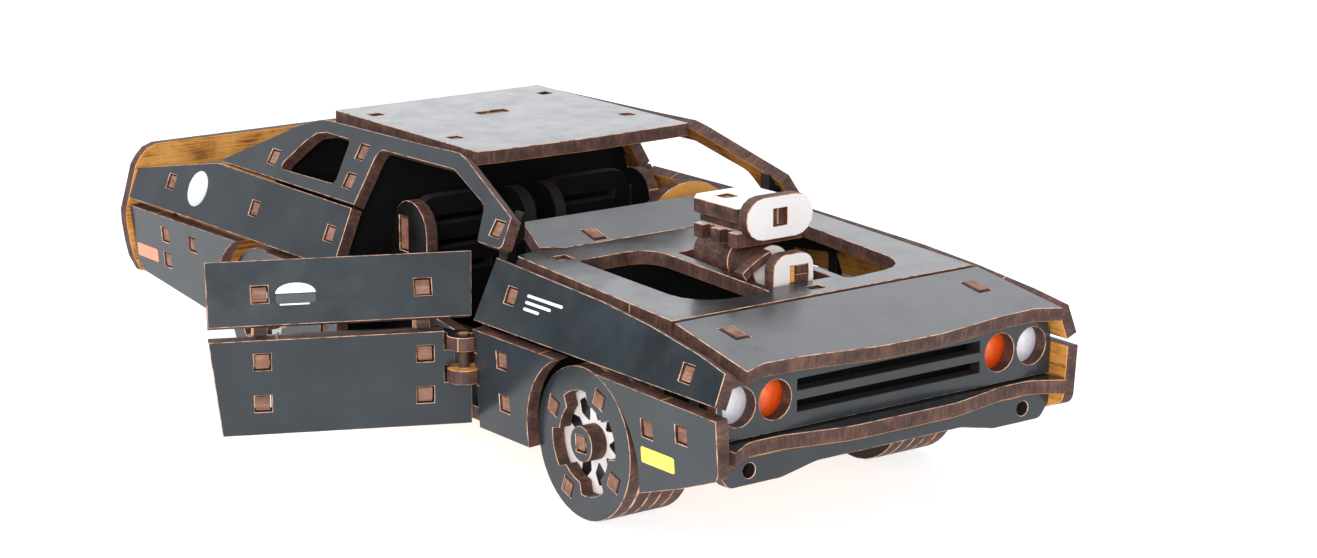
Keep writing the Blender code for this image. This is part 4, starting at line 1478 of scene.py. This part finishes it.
@dataclass
class Wheel(Assembly):
    """One laminated wheel: a windowed rim over a printed brake disc, with a hub in the middle."""

    end: str
    side: Side
    axle_y: float
    face_x: float = 44.0
    inner_x: float = 28.0
    bore: float = 1.8
    hub_radius: float = 3.75
    hub_proud: float = 0.6
    hub_slot: float = 3.6
    disc_depth: float = 3.3
    layers: int = 4
    groove: float = 0.22
    pad_radius: float = 11.9
    pad_size: float = 3.2
    pad_turn: float = 8.0
    pad_angles: tuple[float, ...] = (62.0, 152.0, 242.0, 332.0)
    axle_end: tuple[float, float, float, float] = (-0.2, 0.2, 3.0, 3.0)
    axle_turn: float = 3.0
    marks: int = 9
    mark_turn: float = 1.5

    def build(self) -> None:
        """Builds the wheel's rim, tyre, brake disc marks, hub and tab ends."""
        body, name = f"{self.end}_wheels", f"{self.end}_{self.side.word}"
        p, add, sign = self.palette, self.cad.add, float(self.side.value)
        self.cad.dress(f"{name}_rim_ring", (sign, 0.0, 0.0), p.board, "printed_slate")
        plane = side_plane(sign, sign * self.face_x, self.axle_y, WHEEL_RADIUS)
        self.build_tyre(name, plane, body)
        turns = self.mark_turn + np.linspace(0.0, 360.0, self.marks, endpoint=False)
        place, loops = plane.raised(FILM_PROUD - self.disc_depth), self.mark_loops(turns)
        ink, slot = p.all_over(p.black), "printed_slate"
        add(f"{name}_disc_marks", place, loops, ink, slot, body, FILM, FILM_CHAMFER)
        square = box_loop(0.0, 0.0, self.hub_slot, self.hub_slot, self.axle_turn)
        loops = [round_loop(0.0, 0.0, self.hub_radius, 40), hole(square)]
        place, length = plane.raised(self.hub_proud), self.disc_depth + self.hub_proud
        add(f"{name}_hub", place, loops, p.board, slot, body, length)
        place, loops = place.raised(-0.1), [box_loop(*self.axle_end, self.axle_turn)]
        add(f"{name}_axle_end", place, loops, p.plug, "dowel", body, length)
        turns = np.radians(self.pad_angles)
        places = self.pad_radius * np.stack([np.cos(turns), np.sin(turns)], axis=1)
        size = (self.pad_size, self.pad_size)
        slants = [angle + self.pad_turn for angle in self.pad_angles]
        loops = [box_loop(*spot, *size, slant) for spot, slant in zip(places, slants)]
        add(f"{name}_rim_tab_ends", plane.raised(0.2), loops, p.plug, "charred_edge", body)

    def build_tyre(self, name: str, plane: Plane, body: str) -> None:
        """Turns the laminated tyre behind the rim, with a groove between each two layers.

        Args:
            name: The wheel's name.
            plane: The rim's printed face.
            body: The body that the wheel rides on.
        """
        back, rim, groove = self.face_x - self.inner_x, WHEEL_RADIUS, self.groove
        step = (back - self.disc_depth) / self.layers
        profile = [(self.bore, self.disc_depth)]
        bands = [1]
        for layer in range(self.layers):
            near = self.disc_depth + layer * step
            profile += [(rim - groove, near), (rim, near + groove), (rim, near + step - groove)]
            bands += [2, 0, 2]
        profile += [(rim - groove, back), (self.bore, back)]
        # The wheel's inner face takes the near-black char as painted shade.
        bands += [3, 0]
        p = self.palette
        materials = [p.char, p.white, p.line, p.soot]
        piece = turned(f"{name}_tyre", plane, profile, bands, materials, 72, ring=True)
        self.cad.keep(piece, body, "charred_edge", f"{name}_tyre_core")

    @staticmethod
    def mark_loops(angles: np.ndarray) -> list[np.ndarray]:
        """Dark wedges of the brake disc's print, narrow towards the hub.

        Args:
            angles: Where each wedge lies, in degrees.

        Returns:
            The wedges' outlines: six corners each, as a radius and an angle off its middle.
        """
        radius = np.array([4.6, 6.9, 9.3, 9.3, 6.9, 4.6])
        turns = np.radians(angles[:, None] + (-3.0, -14.0, -6.0, 6.0, 14.0, 3.0))
        return list(np.stack([radius * np.cos(turns), radius * np.sin(turns)], axis=2))


@dataclass
class Axle(Assembly):
    """A 3 mm birch dowel between two wheels."""

    end: str
    axle_y: float
    radius: float = 1.5
    reach: float = 44.4
    soft: float = 0.2

    def build(self) -> None:
        """Turns the dowel, with softened ends."""
        plane = side_plane(1.0, self.reach, self.axle_y, WHEEL_RADIUS)
        length, soft = 2 * self.reach, self.soft
        profile = [(0.0, 0.0), (self.radius - soft, 0.0), (self.radius, soft)]
        profile += [(self.radius, length - soft), (self.radius - soft, length), (0.0, length)]
        bands = [0] * (len(profile) - 1)
        piece = turned(f"{self.end}_axle_dowel", plane, profile, bands, [self.palette.dowel], 24)
        self.cad.keep(piece, f"{self.end}_wheels", "dowel", f"{self.end}_axle")


@dataclass
class Doors(Assembly):
    """Both doors and the brackets that carry their hinge pins."""

    least_lug: float = 8.0

    def build(self) -> None:
        """Dresses the door skins, their joined frames and the hinge brackets."""
        look = self.palette.board
        for side in Side:
            word, angle = side.word, RIGHT_DOOR_OPEN if side is Side.RIGHT else 0.0
            c, s = math.cos(angle), math.sin(angle)
            outward, ahead = side.value * np.array([c, s, 0.0]), np.array([s, -c, 0.0])
            for part in ("door_upper_skin", "door_lower_skin"):
                self.cad.dress(f"{word}_{part}", outward, look, "printed_slate")
            faces = [(ahead, FRONT), (-ahead, BACK), (UP, FRONT), (-UP, BACK)]
            self.cad.dress_joined(f"{word}_door_frame", faces, look, "raw_plywood")
            faces, node = [(UP, BACK), (-UP, FRONT)], f"{word}_hinge_bracket"
            self.cad.dress_joined(node, faces, look, "raw_plywood", self.least_lug)


@dataclass
class Cabin(Assembly):
    """Seats and the steering wheel."""

    filler: tuple[float, float] = (3.1, 7.4)
    filler_yz: tuple[float, float] = (86.0, 42.6)
    filler_x: float = 32.2
    filler_thick: float = 2.6
    inner_side_x: float = 5.6

    def build(self) -> None:
        """Dresses the seats, fills their slots and dresses the steering wheel."""
        p, slot = self.palette, "printed_slate"
        black = replace(p.board, front=p.black, back=p.black)
        y, z = self.filler_yz
        for side in Side:
            sign, word = float(side.value), side.word
            outward = np.array([sign, 0.0, 0.0])
            self.cad.dress(f"{word}_seat_side", outward, black, slot)
            # Seat backs and inner sides are near black as painted shade.
            self.cad.dress(f"{word}_seat_back", Toward.FRONT.value, p.dark_board, slot)
            plane, loops = self.cad.read_board(f"{word}_seat_side", outward)
            origin = plane.origin * (0.0, 1.0, 1.0) + (sign * self.inner_side_x, 0.0, 0.0)
            inner = replace(plane, origin=origin)
            self.cad.add(f"{word}_seat_inner_side", inner, loops, p.dark_board, slot)
            wall = side_plane(sign, sign * self.filler_x, 0.0, 0.0)
            name, loop = f"{word}_seat_tab_end", box_loop(sign * y, z, *self.filler)
            thick = self.filler_thick
            self.cad.add(name, wall, [loop], p.plug, "charred_edge", thick=thick)
        faces = [(-ALONG, BACK), (ALONG, FRONT)]
        self.cad.dress_joined("steering_wheel", faces, p.board, slot)


# Studio -----------------------------------------------------------------------------------


@dataclass(frozen=True)
class Softbox:
    """A square softbox that looks at the model: its place and size in metres, and its watts."""

    name: str
    place: tuple[float, float, float]
    size: float
    power: float

    def hang(self) -> None:
        """Makes the lamp and turns it to the model."""
        light = bpy.data.lights.new(self.name, "AREA")
        light.size, light.energy = self.size, self.power
        lamp = bpy.data.objects.new(self.name, light)
        lamp.location = self.place
        lamp.rotation_euler = (-Vector(self.place)).to_track_quat("-Z", "Y").to_euler()
        bpy.context.scene.collection.objects.link(lamp)


@dataclass
class Studio:
    """A white table, soft light and the camera that looks over the right front corner."""

    camera_mm: tuple[float, float, float] = (-379.40, -475.86, 192.01)
    across: tuple[float, float, float] = (0.8020, -0.5973, 0.0)
    upward: tuple[float, float, float] = (0.1412, 0.1895, 0.9718)
    lens: float = 81.8
    sensor: float = 36.0
    clip_start: float = 0.05
    table: float = 3.0
    table_steps: int = 8
    bright_way: tuple[float, float, float] = (0.586, 0.78, 0.22)
    dark_way: tuple[float, float, float] = (-0.776, 0.606, 0.175)
    lamps: tuple[Softbox, ...] = (
        Softbox("soft_front", (-0.95, -1.15, 0.42), 0.5, 14.0),
        Softbox("soft_side", (-1.0, 0.5, 0.9), 0.8, 10.0),
    )

    def build(self) -> None:
        """Sets the stage."""
        self.build_table()
        self.build_sky()
        for lamp in self.lamps:
            lamp.hang()
        self.build_camera()

    def build_table(self) -> None:
        """Lays a wide table under the wheels: a level grid of squares."""
        count, half = self.table_steps, self.table / 2
        steps = np.linspace(-half, half, count + 1)
        x, y = (g.ravel() for g in np.meshgrid(steps, steps))
        points = np.stack([x / MM, y / MM, 0.0 * x], axis=1) + (0.0, MODEL_ORIGIN[1], 0.0)
        first = (np.arange(count)[:, None] * (count + 1) + np.arange(count)).ravel()
        faces = np.stack([first, first + 1, first + count + 2, first + count + 1], axis=1)
        opal = [LightTable("opal_acrylic_light_table", 0.9).make()]
        cut = points[faces].reshape(-1, 3)[:, :2]
        table = make_object("table", points, faces.tolist(), opal, np.zeros(count**2), cut)

    def build_sky(self) -> None:
        """A white studio: brightest behind the model, darker past its right rear corner.

        The camera sees plain white, and only reflections and soft light see the rest.
        """
        world = bpy.data.worlds.new("studio")
        bpy.context.scene.world = world
        world.use_nodes = True
        world.node_tree.nodes.clear()
        node = partial(add_node, world.node_tree)
        way = node("TexCoord").outputs["Generated"]
        regions = (
            (self.bright_way, {"From Min": 0.55, "From Max": 0.98, "To Max": 0.9}),
            (self.dark_way, {"From Min": 0.9, "From Max": 0.972, "To Max": -0.87}),
        )
        parts = []
        for toward, ends in regions:
            near = node("VectorMath", {0: way, 1: toward}, operation="DOT_PRODUCT")
            inputs = {"Value": near, **ends}
            parts.append(node("MapRange", inputs, interpolation_type="SMOOTHSTEP"))
        level = node("Math", {0: parts[0], 1: parts[1]}, operation="ADD")
        total = node("Math", {0: level, 1: 0.95}, operation="ADD")
        sky = node("Background", {"Color": srgb("#FBFBFF"), "Strength": total})
        plain = node("Background", {"Color": srgb("#FFFFFF"), "Strength": 1.0})
        seen = node("LightPath").outputs["Is Camera Ray"]
        node("OutputWorld", {"Surface": node("MixShader", {0: seen, 1: sky, 2: plain})})

    def build_camera(self) -> None:
        """Sets the camera on its fitted place and axes."""
        right, up = Vector(self.across).normalized(), Vector(self.upward).normalized()
        axes = Matrix((right, up, right.cross(up))).transposed().to_4x4()
        axes.translation = Vector((np.array(self.camera_mm) - MODEL_ORIGIN) * MM)
        data = bpy.data.cameras.new("camera")
        data.lens, data.sensor_width = self.lens, self.sensor
        data.clip_start = self.clip_start
        camera = bpy.data.objects.new("camera", data)
        camera.matrix_world = axes
        bpy.context.scene.collection.objects.link(camera)
        bpy.context.scene.camera = camera


def main() -> None:
    """Builds every sub-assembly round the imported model."""
    logging.basicConfig(level=logging.INFO, format="%(message)s", stream=sys.stdout)
    cad = CadModel(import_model())
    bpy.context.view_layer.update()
    bpy.context.scene.view_settings.view_transform = "Standard"
    palette = Palette()
    for assembly in (Shell, TabEnds, Prints, Lamps, Engine, Doors, Cabin):
        assembly(cad, palette).build()
    for end, axle_y in (("front", 0.0), ("rear", WHEELBASE)):
        Axle(cad, palette, end, axle_y).build()
        for side in Side:
            Wheel(cad, palette, end, side, axle_y).build()
    Studio().build()


if __name__ == "__main__":
    main()
